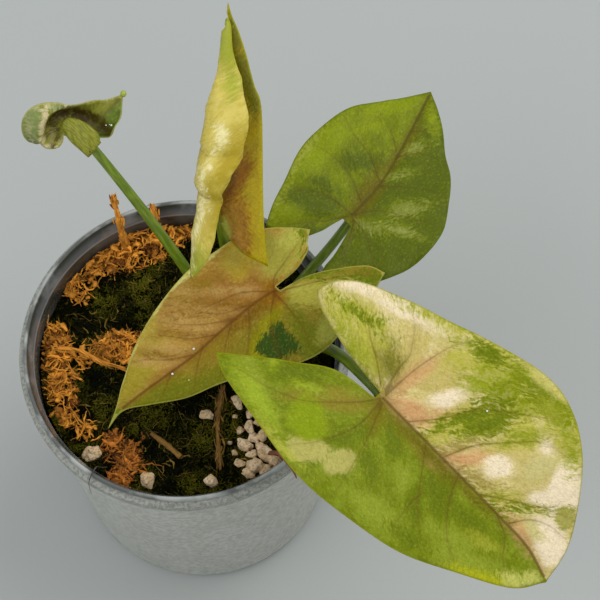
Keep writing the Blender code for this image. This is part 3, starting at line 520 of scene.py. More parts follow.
            ((66, 58, 12), 0.2, 0.5, 0.2, ((-6.2, -3.4, 2.4, 0.7, 170), (-7.6, -5.6, 2, 0.4, 140),
             (-4.4, -5.2, 1.2, 0.5, 100))),
            ((124, 138, 78), 0.25, 0.4, 0.1, ((-13.2, -4.4, 5, 2.0, 124),
             (-10.6, -8.4, 3.6, 1.8, 135), (-10.6, 2.4, 3.4, 1, 46))),
            ((84, 98, 44), 0.3, 0.4, 0.0, ((-9.2, -9.8, 2, 1.3, 125),)),
            ((170, 168, 116), 0.2, 0.6, 0.2, ((-12.6, 0.2, 3.4, 0.7, 46),
             (-12.6, -6.2, 4, 0.5, 130), (-10.4, -8.6, 2.6, 0.35, 130))),
            ((204, 190, 146), 0.16, 0.25, 0.0, (
                (-11.4, -2.6, 3.8, 0.8, 122), (-8.6, -6.2, 2.6, 0.6, 138), (-5.6, -7.2, 2.2, 0.5, 174),
                (-3.4, -5.0, 1.7, 0.45, 95), (-6.9, 7.1, 2, 0.3, 52), (-4.0, 10.2, 3, 0.22, 50),
                (-9.6, 4.0, 2, 0.3, 45),
            )),
        ),
    },
}

# Petioles, as in the part's source: places, and radius at the stem and at the blade
PETIOLE_ROUTES = {
    "front": (
        ((22.8, 2.2, 91.8), (31.0, -2.0, 106.0), (41.5, -9.4, 118.0), (51.0, -23.0, 127.0)), 1.7, 1.3,
    ),
    "middle": (((18.0, 4.0, 95.0), (20.8, 4.9, 107.0), (24.2, 5.6, 118.0)), 1.5, 1.1),
    "back": (((20.8, 8.4, 91.8), (31.5, 15.0, 104.0), (42.0, 23.0, 113.5)), 1.6, 1.2),
    "upright": (((16.0, 8.9, 91.8), (15.2, 14.5, 108.0), (13.4, 19.5, 128.0)), 1.7, 1.2),
    "small": (
        ((12.9, 5.4, 92.2), (2.8, 18.8, 108.5), (-7.0, 30.0, 122.5), (-16.5, 39.2, 136.5)), 1.7, 1.1,
    ),
}

# Fibre clumps: middle, reach along and across, heading, height, long fibres that stand out of it
FIBRE_CLUMPS = {
    "fibre_back": ((-11.5, 36.0), (16.0, 5.8), 20.0, 7.6, (
        ((-16.0, 34.0, 93.0), (-17.2, 37.0, 102.5), (-17.9, 40.0, 107.0), (-18.5, 43.9, 111.0)),
        ((-6.5, 36.0, 93.0), (-7.2, 39.6, 102.0), (-7.8, 42.4, 106.0)),
    )),
    "fibre_left": ((-36.0, -2.5), (16.0, 4.4), 95.0, 3.5, (
        ((-36.5, 4.0, 95.5), (-30.0, 2.6, 96.5), (-23.5, -0.6, 95.0), (-17.0, -2.6, 93.5)),
    )),
    "fibre_middle": ((-18.5, 5.5), (8.5, 4.5), 15.0, 3.5, ()),
}

# Chips that lie a little way off their clump: place and spread
STRAY_CHIPS = {
    "fibre_back": ((-26.8, 28.6, 2.0), (-22.5, 32.0, 1.8), (-31.0, 22.5, 1.6), (-33.0, 26.0, 1.0)),
    "fibre_left": ((-38.0, 11.0, 1.2), (-33.0, -16.0, 1.6), (-29.0, -20.0, 1.4), (-29.0, 2.0, 1.6)),
    "fibre_middle": ((-17.2, 3.0, 1.4),),
}

# Pumice: place, reach along and across, and heading of each grain of the heap, then the lone grains
HEAP_GRAINS = (
    (14.2, -13.6, 2.6, 1.5, -60), (17.2, -20.6, 2.5, 1.5, -70), (15.6, -26.0, 2.7, 1.5, -30),
    (12.9, -28.2, 1.0, 0.9, 0),
    (21.4, -28.2, 4.0, 2.2, -60), (18.6, -32.6, 2.6, 2.2, 20), (24.0, -31.4, 2.0, 1.7, 40),
    (16.6, -35.0, 2.0, 1.6, 0),
    (21.4, -34.0, 2.3, 1.9, 60), (18.4, -24.0, 2.0, 1.6, 10), (14.6, -21.4, 1.3, 1.1, 30),
    (18.0, -16.4, 1.9, 1.4, 50),
    (14.2, -31.6, 1.7, 1.3, -20), (21.0, -23.4, 2.1, 1.6, 80), (17.6, -29.0, 1.6, 1.4, 0),
    (20.0, -19.6, 1.7, 1.4, 20),
    (13.4, -17.4, 0.9, 0.7, 0), (11.6, -25.0, 0.8, 0.6, 0),
)
LOOSE_GRAINS = {
    "grain_front": ((-11.3, -35.6), 2.0),
    "grain_left": ((-26.6, -27.4), 2.3),
    "grain_right": ((6.0, -36.0), 1.8),
    "grain_middle": ((5.3, -17.1), 1.6),
}
HUSK_FLAKES = {
    "husk_left": ((-20.6, -24.2), (4.2, 2.0), 15.0),
    "husk_middle": ((-16.4, -29.4), (3.8, 1.9), -30.0),
    "husk_front": ((-18.6, -34.0), (3.2, 1.7), 140.0),
}
LYING_RODS = {
    "stick": (((-10.5, -21.3), (-6.5, -24.6), (-2.2, -29.1)), 1.0, 0.8),
    "brown_strand": (((10.0, -9.4), (8.4, -20.0), (8.8, -33.0)), 0.9, 0.7),
}
SHEATH_ROUTE = (
    -53.2,
    ((38.2, 96.6), (40.2, 101.0), (42.0, 104.3), (45.0, 104.2), (47.4, 101.6), (48.6, 96.8)),
    0.2,
)
STRAY_ROOT_ROUTE = (
    -126.2,
    ((38.6, 92.6), (40.6, 98.0), (42.2, 103.3), (44.9, 103.8), (47.0, 101.8), (47.6, 94.5)),
    0.3,
)
# Water drops: blade, across, along, radius
DROPS = (
    ("front", 5.1, 12.7, 0.35), ("front", -18.2, 20.2, 0.3), ("middle", 0.9, 26.4, 0.35),
    ("middle", -0.8, 35.3, 0.35), ("middle", -5.1, 32.5, 0.25), ("middle", 10.4, 37.3, 0.3),
    ("small", 2.6, 7.0, 0.2), ("small", 4.2, 8.0, 0.28), ("small", 3.4, 7.8, 0.16),
)


class BladeLook(bpy.types.PropertyGroup):
    grid_step: FloatProperty(
        name="Grid step", description="Spacing of the points inside a blade", default=0.00115, unit="LENGTH"
    )
    thickness: FloatProperty(
        name="Thickness", description="Thickness of a blade away from its margin", default=0.00055, unit="LENGTH"
    )
    petiole_colour: FloatVectorProperty(
        name="Petiole", description="Main green of the petioles", default=paint(90, 112, 8), size=3, subtype="COLOR"
    )
    petiole_light: FloatVectorProperty(
        name="Petiole, light", description="Paler green of a petiole's ridges", default=paint(116, 137, 28), size=3,
        subtype="COLOR",
    )


class PotLook(bpy.types.PropertyGroup):
    frosted: FloatVectorProperty(
        name="Frosted body", description="Colour of the frosted body", default=paint(180, 182, 172), size=3,
        subtype="COLOR",
    )
    lip: FloatVectorProperty(
        name="Lip", description="Colour of the clear lip", default=paint(68, 68, 60), size=3, subtype="COLOR"
    )
    # Painted shade: this dark tone of the inner wall stands for the shade inside the pot.
    inside: FloatVectorProperty(
        name="Inside", description="Colour of the inner wall above the moss", default=paint(72, 68, 58), size=3,
        subtype="COLOR",
    )
    turned_steps: IntProperty(name="Turned steps", description="Facets around the pot", default=160, min=32)


class GroundLook(bpy.types.PropertyGroup):
    # Painted shade: the dark moss tone is laid in the moss's hollows and at the feet of its sprigs.
    moss_dark: FloatVectorProperty(
        name="Moss, dark", description="Moss in its hollows", default=paint(10, 12, 2), size=3, subtype="COLOR"
    )
    moss_light: FloatVectorProperty(
        name="Moss, light", description="Tips of the moss", default=paint(92, 90, 18), size=3, subtype="COLOR"
    )
    sprigs: IntProperty(name="Sprigs", description="Number of moss sprigs", default=4200, min=0)
    fibre_dark: FloatVectorProperty(
        name="Fibre, dark", description="Darkest fibre", default=paint(84, 34, 4), size=3, subtype="COLOR"
    )
    fibre_light: FloatVectorProperty(
        name="Fibre, light", description="Palest fibre", default=paint(255, 174, 62), size=3, subtype="COLOR"
    )
    strands: IntProperty(name="Strands", description="Strands in each fibre clump", default=460, min=1)
    pumice: FloatVectorProperty(
        name="Pumice", description="Colour of the grains", default=paint(206, 176, 134), size=3, subtype="COLOR"
    )
    husk: FloatVectorProperty(
        name="Husk", description="Colour of husks and sticks", default=paint(226, 140, 52), size=3, subtype="COLOR"
    )


class StageLook(bpy.types.PropertyGroup):
    paper: FloatVectorProperty(
        name="Paper", description="Colour of the floor", default=paint(170, 174, 172), size=3, subtype="COLOR"
    )
    lens: FloatProperty(name="Lens", description="Focal length on a 36 mm sensor", default=120.0, unit="CAMERA")
    lamp: FloatProperty(name="Lamp", description="Power of the large lamp", default=10.5, unit="POWER")
    sky: FloatProperty(name="Sky", description="Strength of the light from all round", default=0.69)


class Finish:
    """A material in the making, with short ways to add the nodes that every finish here needs."""

    def __init__(self, name):
        self.material = bpy.data.materials.new(name)
        self.material.use_nodes = True
        self.tree = self.material.node_tree
        self.shader = self.tree.nodes["Principled BSDF"]

    def node(self, kind, **settings):
        made = self.tree.nodes.new(kind)
        for key, value in settings.items():
            setattr(made, key, value)
        return made

    def feed(self, node, socket, value):
        if isinstance(value, bpy.types.NodeSocket):
            self.tree.links.new(value, node.inputs[socket])
        elif isinstance(value, tuple) and node.inputs[socket].type == "RGBA":
            node.inputs[socket].default_value = (*value, 1.0)
        else:
            node.inputs[socket].default_value = value

    def attribute(self, name, output="Vector"):
        return self.node("ShaderNodeAttribute", attribute_name=name).outputs[output]

    def object_place(self):
        return self.node("ShaderNodeTexCoord").outputs["Object"]

    def part(self, vector, axis):
        split = self.node("ShaderNodeSeparateXYZ")
        self.feed(split, 0, vector)
        return split.outputs[axis]

    def math(self, operation, *values):
        made = self.node("ShaderNodeMath", operation=operation)
        for index, value in enumerate(values):
            self.feed(made, index, value)
        return made.outputs[0]

    def vector(self, operation, first, second=None, scale=None):
        made = self.node("ShaderNodeVectorMath", operation=operation)
        self.feed(made, 0, first)
        if second is not None:
            self.feed(made, 1, second)
        if scale is not None:
            self.feed(made, "Scale", scale)
        return made.outputs["Value" if operation in ("LENGTH", "DISTANCE") else "Vector"]

    def spread(self, value, low, high, start=0.0, end=1.0):
        """Maps low to high smoothly onto start to end."""
        made = self.node("ShaderNodeMapRange", interpolation_type="SMOOTHSTEP")
        for index, given in enumerate((value, low, high, start, end)):
            self.feed(made, index, given)
        return made.outputs[0]

    def noise(self, place, scale, detail=2.0, output="Fac"):
        made = self.node("ShaderNodeTexNoise")
        self.feed(made, "Vector", place)
        self.feed(made, "Scale", scale)
        self.feed(made, "Detail", detail)
        return made.outputs[output]

    def stretch(self, place, scale, turn=0.0):
        made = self.node("ShaderNodeMapping")
        self.feed(made, "Vector", place)
        self.feed(made, "Scale", scale)
        self.feed(made, "Rotation", (0.0, 0.0, turn))
        return made.outputs[0]

    def streaks(self, place, heading, long_reach, short_reach):
        """Noise drawn out along the side veins of both halves of a blade."""
        folded = self.vector("ABSOLUTE", place)
        mapped = self.node("ShaderNodeMapping", vector_type="TEXTURE")
        self.feed(mapped, "Vector", folded)
        self.feed(mapped, "Rotation", (0.0, 0.0, math.radians(heading)))
        self.feed(mapped, "Scale", (long_reach, short_reach, 1.0))
        return self.noise(mapped.outputs[0], 1.0, 4.0)

    def cells(self, place, scale, feature="DISTANCE_TO_EDGE", output="Distance"):
        made = self.node("ShaderNodeTexVoronoi", feature=feature)
        self.feed(made, "Vector", place)
        self.feed(made, "Scale", scale)
        return made.outputs[output]

    def mix(self, share, first, second, blend="MIX"):
        made = self.node("ShaderNodeMix", data_type="RGBA", blend_type=blend)
        self.feed(made, 0, share)
        self.feed(made, 6, first)
        self.feed(made, 7, second)
        return made.outputs[2]

    def bump(self, height, strength, distance):
        made = self.node("ShaderNodeBump")
        self.feed(made, "Height", height)
        self.feed(made, "Strength", strength)
        self.feed(made, "Distance", distance)
        self.tree.links.new(made.outputs[0], self.shader.inputs["Normal"])

    def surface(self, colour, roughness, **plain):
        """Sets the shader's colour and roughness, and plain numbers on its other sockets."""
        self.feed(self.shader, "Base Color", colour)
        self.feed(self.shader, "Roughness", roughness)
        for key, value in plain.items():
            self.shader.inputs[key.replace("_", " ").title().replace("Ior", "IOR")].default_value = value
        return self.material


def add_piece(name, places, faces, finish, nodes=(), attributes=None, smooth=True):
    """A mesh piece, in millimetres, that rides on the plant and stands for the nodes named."""
    mesh = bpy.data.meshes.new(name)
    places = np.asarray(places, float) * MM
    mesh.from_pydata(places.tolist(), [], [list(face) for face in faces])
    for key, values in (attributes or {}).items():
        values = np.asarray(values, np.float32)
        kind = "FLOAT_VECTOR" if values.ndim == 2 else "FLOAT"
        field = "vector" if values.ndim == 2 else "value"
        mesh.attributes.new(key, kind, "POINT").data.foreach_set(field, values.reshape(-1))
    mesh.materials.append(finish)
    if smooth:
        mesh.shade_smooth()
    piece = bpy.data.objects.new(name, mesh)
    bpy.context.scene.collection.objects.link(piece)
    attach(piece, "root")
    if nodes:
        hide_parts(*nodes)
    return piece


def dress_solid(name, finish):
    """Gives a solid of the source that stays in view its finish."""
    materials = frame["nodes"][name].data.materials
    materials.clear()
    materials.append(finish)


def smooth_run(points, parts):
    """Points on a smooth curve through the given ones, with this many parts in each span."""
    points = np.asarray(points, float)
    ends = np.vstack([2 * points[0] - points[1], points, 2 * points[-1] - points[-2]])
    run = []
    for before, start, end, after in zip(ends, ends[1:], ends[2:], ends[3:]):
        for part in range(parts):
            t = part / parts
            bend = 2 * start + (end - before) * t
            bend = bend + (2 * before - 5 * start + 4 * end - after) * t**2
            bend = bend + (3 * start - before - 3 * end + after) * t**3
            run.append(bend / 2)
    return np.array([*run, points[-1]])


def distance_to(points, line, closed=False):
    """How far each point lies from a line of points."""
    nearest = np.full(len(points), np.inf)
    ends = np.vstack([line[1:], line[:1]]) if closed else line[1:]
    for start, end in zip(line, ends):
        span = end - start
        share = np.clip((points - start) @ span / max(span @ span, 1e-9), 0, 1)
        nearest = np.minimum(nearest, np.linalg.norm(start + share[:, None] * span - points, axis=1))
    return nearest


def inside(points, outline):
    """Which points lie inside a closed outline."""
    crossings = np.zeros(len(points), int)
    for start, end in zip(outline, np.vstack([outline[1:], outline[:1]])):
        if start[1] == end[1]:
            continue
        spans = (start[1] > points[:, 1]) != (end[1] > points[:, 1])
        place = start[0] + (points[:, 1] - start[1]) / (end[1] - start[1]) * (end[0] - start[0])
        crossings += spans & (place > points[:, 0])
    return crossings % 2 == 1


def blade_frame(blade):
    """The blade's own directions: across, along and facing."""
    facing = np.array(blade["facing"]) / np.linalg.norm(blade["facing"])
    along = np.array(blade["tip_towards"])
    along = along - facing * (along @ facing)
    along = along / np.linalg.norm(along)
    return np.cross(along, facing), along, facing


def bend_blade(blade, flat, edge):
    """Where points of the flat blade lie in the plant."""
    across, along = flat[:, 0], flat[:, 1]
    curl = np.maximum(np.where(across > 0, blade["curl"][1], blade["curl"][0]), 1e-5)
    side = np.sign(across) * np.sin(np.abs(across) * curl) / curl
    rise = (1 - np.cos(across * curl)) / curl
    if blade.get("furl"):
        radius = np.interp(along, *np.array(blade["furl"]).T)
        turned_by = np.minimum(-across / radius, math.pi)
        beyond = np.maximum(-across - math.pi * radius, 0)
        side = np.where(across < 0, beyond - radius * np.sin(turned_by), side)
        rise = np.where(across < 0, radius * (1 - np.cos(turned_by)), rise)
    rise = rise + blade["fold"] * (np.hypot(across, 2.0) - 2.0)
    rise = rise + blade["wave"] * np.exp(-edge / 5.0) * np.sin(9 * np.arctan2(across, along) + 1.0)
    bow = np.maximum(np.where(along > 0, blade["bow"][0], blade["bow"][1]), 1e-5)
    forward = np.sin(along * bow) / bow + rise * np.sin(along * bow)
    upward = (np.cos(along * bow) - 1) / bow + rise * np.cos(along * bow)
    sideways, onwards, facing = blade_frame(blade)
    return np.array(blade["at"]) + side[:, None] * sideways + forward[:, None] * onwards + upward[:, None] * facing


def blade_outline(blade, parts):
    outline = []
    for run in blade["margin"]:
        outline.extend(smooth_run(run, parts)[:-1])
    outline.append(np.array(blade["margin"][-1][-1], float))
    return np.array(outline)


def flat_blade(blade, step):
    """Flat points and triangles of a blade whose veins are lines of its mesh, and its outline and veins."""
    outline = blade_outline(blade, MARGIN_PARTS)
    veins = []
    for vein in blade["veins"]:
        run = smooth_run(vein, VEIN_PARTS)
        run = run[inside(run, outline)]
        run = run[distance_to(run, outline, True) > 0.7 * step]
        veins.append(run)
    low, high = outline.min(0), outline.max(0)
    rows = np.arange(low[1], high[1] + step, step * 0.87)
    grid = []
    for index, row in enumerate(rows):
        columns = np.arange(low[0] + 0.5 * step * (index % 2), high[0], step)
        grid.extend((column, row) for column in columns)
    grid = np.array(grid)
    grid = grid[inside(grid, outline)]
    grid = grid[distance_to(grid, outline, True) > 0.5 * step]
    for vein in veins:
        grid = grid[distance_to(grid, vein) > 0.45 * step]
    points = [*outline]
    edges = []
    for vein in veins:
        start = len(points)
        points.extend(vein)
        edges.extend((index, index + 1) for index in range(start, len(points) - 1))
    points.extend(grid)
    found = delaunay_2d_cdt([Vector(point) for point in points], edges, [list(range(len(outline)))], 1, 1e-4)
    return np.array([tuple(place) for place in found[0]]), [tuple(face) for face in found[2]], outline, veins


def face_normals(places, faces):
    corners = np.asarray(faces)
    normals = np.cross(places[corners[:, 1]] - places[corners[:, 0]], places[corners[:, 2]] - places[corners[:, 0]])
    total = np.zeros_like(places)
    for column in range(3):
        np.add.at(total, corners[:, column], normals)
    return total / np.maximum(np.linalg.norm(total, axis=1), 1e-9)[:, None]


def rim_edges(faces):
    """The directed edges that only one triangle uses."""
    once = {}
    for face in faces:
        for start, end in zip(face, face[1:] + face[:1]):
            key = (min(start, end), max(start, end))
            once[key] = None if key in once else (start, end)
    return [edge for edge in once.values() if edge]


def two_sided(faces, count):
    """Faces of a sheet and of its other side, count points further on, with a closed rim."""
    shell = [*faces, *([index + count for index in face][::-1] for face in faces)]
    for start, end in rim_edges(faces):
        shell.append((start, start + count, end + count, end))
    return shell


def own_relief(name, flat, edge):
    """The turned-up margin of the middle blade, the creases of the upright one, the small one's crest."""
    if name == "middle":
        turned = np.clip((flat[:, 0] - 7.0) / 4.0, 0, 1) * np.clip((flat[:, 1] + 1) / 4.0, 0, 1)
        return 1.3 * turned * np.clip(1.0 - edge / 2.0, 0, 1) ** 1.3
    if name == "upright":
        folded = np.clip((-flat[:, 0] - 4.0) / 3.0, 0, 1)
        creases = np.exp(-(((flat[:, 1] - 6.0) / 0.8) ** 2)) + 0.8 * np.exp(-(((flat[:, 1] - 18.4) / 0.9) ** 2))
        return 0.4 * folded * creases
    if name == "small":
        crest = smooth_run((
            (-5.0, 9.0), (-9.0, 4.2), (-11.6, -1.0), (-10.4, -4.4), (-8.0, -6.6), (-5.4, -7.2), (-3.5, -5.2),
        ), 6)
        hollow = smooth_run(((3.0, 5.6), (-3.5, 4.4), (-7.6, 1.4), (-8.4, -1.6), (-6.4, -4.0)), 6)
        fallen = smooth_run(((-11.5, 2.6), (-15.0, -3.4), (-13.0, -8.0), (-9.0, -10.8)), 6)
        rise = 2.6 * np.exp(-((distance_to(flat, crest) / 1.5) ** 2))
        drop = 2.6 * np.exp(-((distance_to(flat, hollow) / 2.2) ** 2))
        return rise - drop - 1.8 * np.exp(-((distance_to(flat, fallen) / 1.8) ** 2))
    return 0.0


def beyond_patches(flat, places):
    """How far each point lies outside the nearest patch of a layer; less than nothing inside it."""
    nearest = np.full(len(flat), np.inf)
    for across, along, long_reach, short_reach, heading in places:
        turn = math.radians(heading)
        moved = flat - (across, along)
        along_patch = (moved[:, 0] * math.cos(turn) + moved[:, 1] * math.sin(turn)) / long_reach
        across_patch = (moved[:, 1] * math.cos(turn) - moved[:, 0] * math.sin(turn)) / short_reach
        nearest = np.minimum(nearest, (np.hypot(along_patch, across_patch) - 1) * short_reach)
    return nearest


def fading(flat, veins, away):
    """How strongly the nearest side vein shows: most at its root, least at the margin."""
    nearest = away.argmin(axis=0)
    shown = np.zeros(len(flat))
    for index, vein in enumerate(veins):
        mine = nearest == index
        share = np.linalg.norm(flat[mine] - vein[0], axis=1) / np.linalg.norm(vein[-1] - vein[0])
        shown[mine] = np.clip(1.0 - 0.75 * share, 0.2, 1.0)
    return shown


def blade_shell(name, blade, look):
    """Places, triangles and attributes of a blade with two faces and a thin margin."""
    step = look.grid_step / MM
    flat, faces, outline, veins = flat_blade(blade, step)
    ordered = []
    for face in faces:
        first, second, third = (flat[index] for index in face)
        turn = (second[0] - first[0]) * (third[1] - first[1]) - (second[1] - first[1]) * (third[0] - first[0])
        ordered.append(face if turn > 0 else face[::-1])
    edge = distance_to(flat, outline, True)
    midrib = distance_to(flat, veins[0])
    away = np.array([distance_to(flat, vein) for vein in veins[1:]])
    ribs = away.min(axis=0)
    faint = fading(flat, veins[1:], away)
    middle = np.interp(flat[:, 1], veins[0][:, 1], veins[0][:, 0])
    nearest = np.minimum(midrib, ribs)
    crinkle = np.array([noise.noise(Vector((*(point * 0.35), len(name)))) for point in flat])
    relief = blade["swell"] * (1 - np.exp(-((nearest / 2.6) ** 2))) * (1 - np.exp(-edge / 2.0))
    relief = relief - 0.22 * np.exp(-((midrib / 0.8) ** 2)) + 0.16 * crinkle
    relief = relief + own_relief(name, flat, edge)
    base = bend_blade(blade, flat, edge)
    normals = face_normals(base, ordered)
    top = base + normals * relief[:, None]
    thick = look.thickness / MM - MARGIN_THICKNESS
    thick = MARGIN_THICKNESS + thick * (1 - np.exp(-edge / 1.2))
    thick = thick + 0.5 * np.exp(-((midrib / 0.9) ** 2)) + 0.15 * np.exp(-((ribs / 0.7) ** 2))
    under = top - normals * thick[:, None]
    count = len(flat)
    twice = np.vstack([np.column_stack([flat, flat[:, 0] - middle])] * 2)
    lines = np.vstack([np.column_stack([midrib, ribs, edge])] * 2)
    side = np.concatenate([np.zeros(count), np.ones(count)])
    shares = {"flat": twice, "lines": lines, "side": side, "faint": np.concatenate([faint, faint])}
    wander = np.array([noise.noise_vector(Vector((*(point * 0.2), 3.0)))[:2] for point in flat])
    wander = wander * (0.3 if name == "small" else 1.0)
    for key in ("layers", "under_layers"):
        for index, layer in enumerate(PAINT[name].get(key, ())):
            beyond = beyond_patches(flat + wander, layer[-1])
            shares["%s_%d" % (key, index)] = np.concatenate([beyond, beyond])
    return np.vstack([top, under]), two_sided(ordered, count), shares


def lay_patches(finish, colour, colours, key, fringe, broken):
    """Lays each painted layer over the colour, with feathered margins and holes."""
    for index, (tone, softness, feather, holes, _) in enumerate(colours.get(key, ())):
        beyond = finish.attribute("%s_%d" % (key, index), "Fac")
        beyond = finish.math("MULTIPLY_ADD", fringe, 7.0 * feather, beyond)
        covered = finish.spread(beyond, 2.5 * softness, -2.5 * softness)
        if holes:
            kept = finish.spread(broken, 0.56, 0.44, 1.0 - holes, 1.0)
            covered = finish.math("MULTIPLY", covered, kept)
        colour = finish.mix(covered, colour, paint(*tone))
    return colour


def blade_finish(name):
    """The painted finish of one blade, from places on the flat blade."""
    colours = PAINT[name]
    finish = Finish("blade_" + name)
    flat = finish.attribute("flat")
    lines = finish.attribute("lines")
    faint = finish.attribute("faint", "Fac")
    side = finish.attribute("side", "Fac")
    seed = float(len(name)) * 7.3
    moved = finish.vector("ADD", flat, (seed, seed, 0.0))
    level = finish.vector("MULTIPLY", flat, (1.0, 1.0, 0.0))
    wander = finish.vector("SUBTRACT", finish.noise(moved, 0.16, 3.0, "Color"), (0.5, 0.5, 0.5))
    ragged = finish.vector("SUBTRACT", finish.noise(moved, 0.9, 4.0, "Color"), (0.5, 0.5, 0.5))
    streak = finish.streaks(finish.vector("ADD", level, finish.vector("SCALE", wander, scale=5.0)), 48, 3.2, 0.55)
    broken = finish.streaks(finish.vector("ADD", level, finish.vector("SCALE", wander, scale=8.0)), 52, 5.0, 1.3)
    hairs = finish.streaks(level, 50, 1.6, 0.16)
    frayed = finish.math("ADD", streak, finish.math("MULTIPLY", finish.noise(moved, 0.8, 4.0), 0.6))
    fringe = finish.math("SUBTRACT", frayed, 0.8)
    mottle = finish.spread(finish.math("ADD", broken, finish.noise(moved, 0.22, 4.0)), 0.8, 1.2)
    halves = []
    for half in ("right", "left"):
        first, second = (paint(*tone) for tone in colours[half])
        halves.append(finish.mix(mottle, first, second))
    share = finish.spread(finish.part(flat, 2), -0.12, 0.12)
    colour = finish.mix(share, halves[1], halves[0])
    colour = lay_patches(finish, colour, colours, "layers", fringe, broken)
    darker = finish.mix(0.5, colour, (0.05, 0.06, 0.0))
    lighter = finish.mix(0.16, colour, (0.8, 0.78, 0.25))
    colour = finish.mix(finish.spread(streak, 0.5, 0.25, 0.0, 0.35), colour, darker)
    colour = finish.mix(finish.spread(hairs, 0.5, 0.8, 0.0, 0.5), colour, lighter)
    colour = finish.mix(finish.spread(hairs, 0.5, 0.2, 0.0, 0.35), colour, darker)
    grain = finish.noise(moved, 1.3, 4.0)
    colour = finish.mix(finish.spread(grain, 0.48, 0.3, 0.0, 0.3), colour, darker)
    colour = finish.mix(finish.spread(grain, 0.52, 0.7, 0.0, 0.5), colour, lighter)
    warped = finish.vector("ADD", moved, finish.vector("SCALE", ragged, scale=2.2))
    net = finish.spread(finish.cells(warped, 0.5), 0.12, 0.0)
    vein = paint(*colours["vein"])
    colour = finish.mix(finish.math("MULTIPLY", net, 0.12), colour, vein)
    rib = finish.math("MULTIPLY", finish.spread(finish.part(lines, 1), 0.4, 0.0, 0.0, 0.6), faint)
    shadow = finish.math("MULTIPLY", finish.spread(finish.part(lines, 1), 1.6, 0.0, 0.0, 0.2), faint)
    halo = finish.spread(finish.part(lines, 0), 2.4, 0.2, 0.0, 0.2)
    midrib = finish.spread(finish.part(lines, 0), 0.6, 0.15, 0.0, 0.75)
    for amount in (shadow, rib, halo, midrib):
        colour = finish.mix(amount, colour, vein)
    rim = finish.spread(finish.part(lines, 2), 0.5, 0.1, 0.0, 0.6)
    colour = finish.mix(rim, colour, paint(*colours["edge"]))
    first, second = (paint(*tone) for tone in colours["under"])
    under = lay_patches(finish, finish.mix(mottle, first, second), colours, "under_layers", fringe, broken)
    under = finish.mix(finish.math("MAXIMUM", rib, midrib), under, finish.mix(0.5, under, vein))
    colour = finish.mix(side, colour, under)
    richer = finish.node("ShaderNodeHueSaturation")
    finish.feed(richer, "Saturation", colours["rich"])
    finish.feed(richer, "Color", colour)
    colour = richer.outputs[0]
    height = finish.math("ADD", finish.math("MULTIPLY", net, -0.5), hairs)
    finish.bump(height, 0.4, 0.0002)
    gloss = BLADES[name]["gloss"]
    rough = finish.spread(finish.noise(moved, 0.5, 3.0), 0.3, 0.7, gloss - 0.06, gloss + 0.08)
    rough = finish.math("MULTIPLY_ADD", side, -0.1, rough)
    return finish.surface(colour, rough, specular_ior_level=BLADES[name]["shine"])


def blade_point(name, across, along):
    """Where a place of the flat blade lies, and which way the blade faces there."""
    blade = BLADES[name]
    outline = blade_outline(blade, MARGIN_PARTS)
    near = np.array([(across, along), (across + 0.2, along), (across, along + 0.2)])
    places = bend_blade(blade, near, distance_to(near, outline, True))
    facing = np.cross(places[1] - places[0], places[2] - places[0])
    return places[0], facing / np.linalg.norm(facing)


def small_flap():
    """The lower lobe of the small blade, folded up over its petiole: places, faces and attributes."""
    blade = BLADES["small"]
    sideways, onwards, facing = blade_frame(blade)
    section = smooth_run((
        (1.6, -1.4), (-0.6, -1.7), (-2.2, -1.0), (-2.6, 0.3), (-1.6, 1.4), (1.0, 1.9), (4.4, 1.7),
    ), 4)
    columns = np.linspace(0, 1, 22)
    places, flat = [], []
    for share in columns:
        across = -6.4 + 11.2 * share
        reach = 0.35 + 0.65 * math.sin(math.pi * min(share * 1.6 + 0.12, 1.0) / 2)
        lift = 0.5 * share - 0.5
        for along, height in section:
            cut = -1.5 * math.exp(-((share - 1) / 0.13) ** 2) * (along > 0)
            near = along * reach + lift + cut
            high = height * (0.75 + 0.25 * math.sin(math.pi * share)) + 0.12 * math.sin(9 * share + along)
            places.append(np.array(blade["at"]) + across * sideways + near * onwards + high * facing)
            flat.append((across, near, 0.0))
    rows = len(section)
    grid = []
    for column in range(len(columns) - 1):
        for row in range(rows - 1):
            first = column * rows + row
            grid.append((first, first + rows, first + rows + 1, first + 1))
    places = np.array(places)
    normals = face_normals(places, [face[:3] for face in grid] + [(face[0], face[2], face[3]) for face in grid])
    thin = np.vstack([places, places - normals * FLAP_THICKNESS])
    return thin, two_sided(grid, len(places)), {"run": np.vstack([flat, flat])}


def frames_along(points):
    """Two directions across a line of points, carried along it without twist."""
    points = np.asarray(points, float)
    tangents = np.gradient(points, axis=0)
    tangents = tangents / np.maximum(np.linalg.norm(tangents, axis=1), 1e-9)[:, None]
    start = np.cross(tangents[0], (0.0, 0.0, 1.0))
    if np.linalg.norm(start) < 0.2:
        start = np.cross(tangents[0], (0.0, 1.0, 0.0))
    first = [start / np.linalg.norm(start)]
    for tangent in tangents[1:]:
        carried = first[-1] - tangent * (first[-1] @ tangent)
        first.append(carried / max(np.linalg.norm(carried), 1e-9))
    first = np.array(first)
    return first, np.cross(tangents, first)


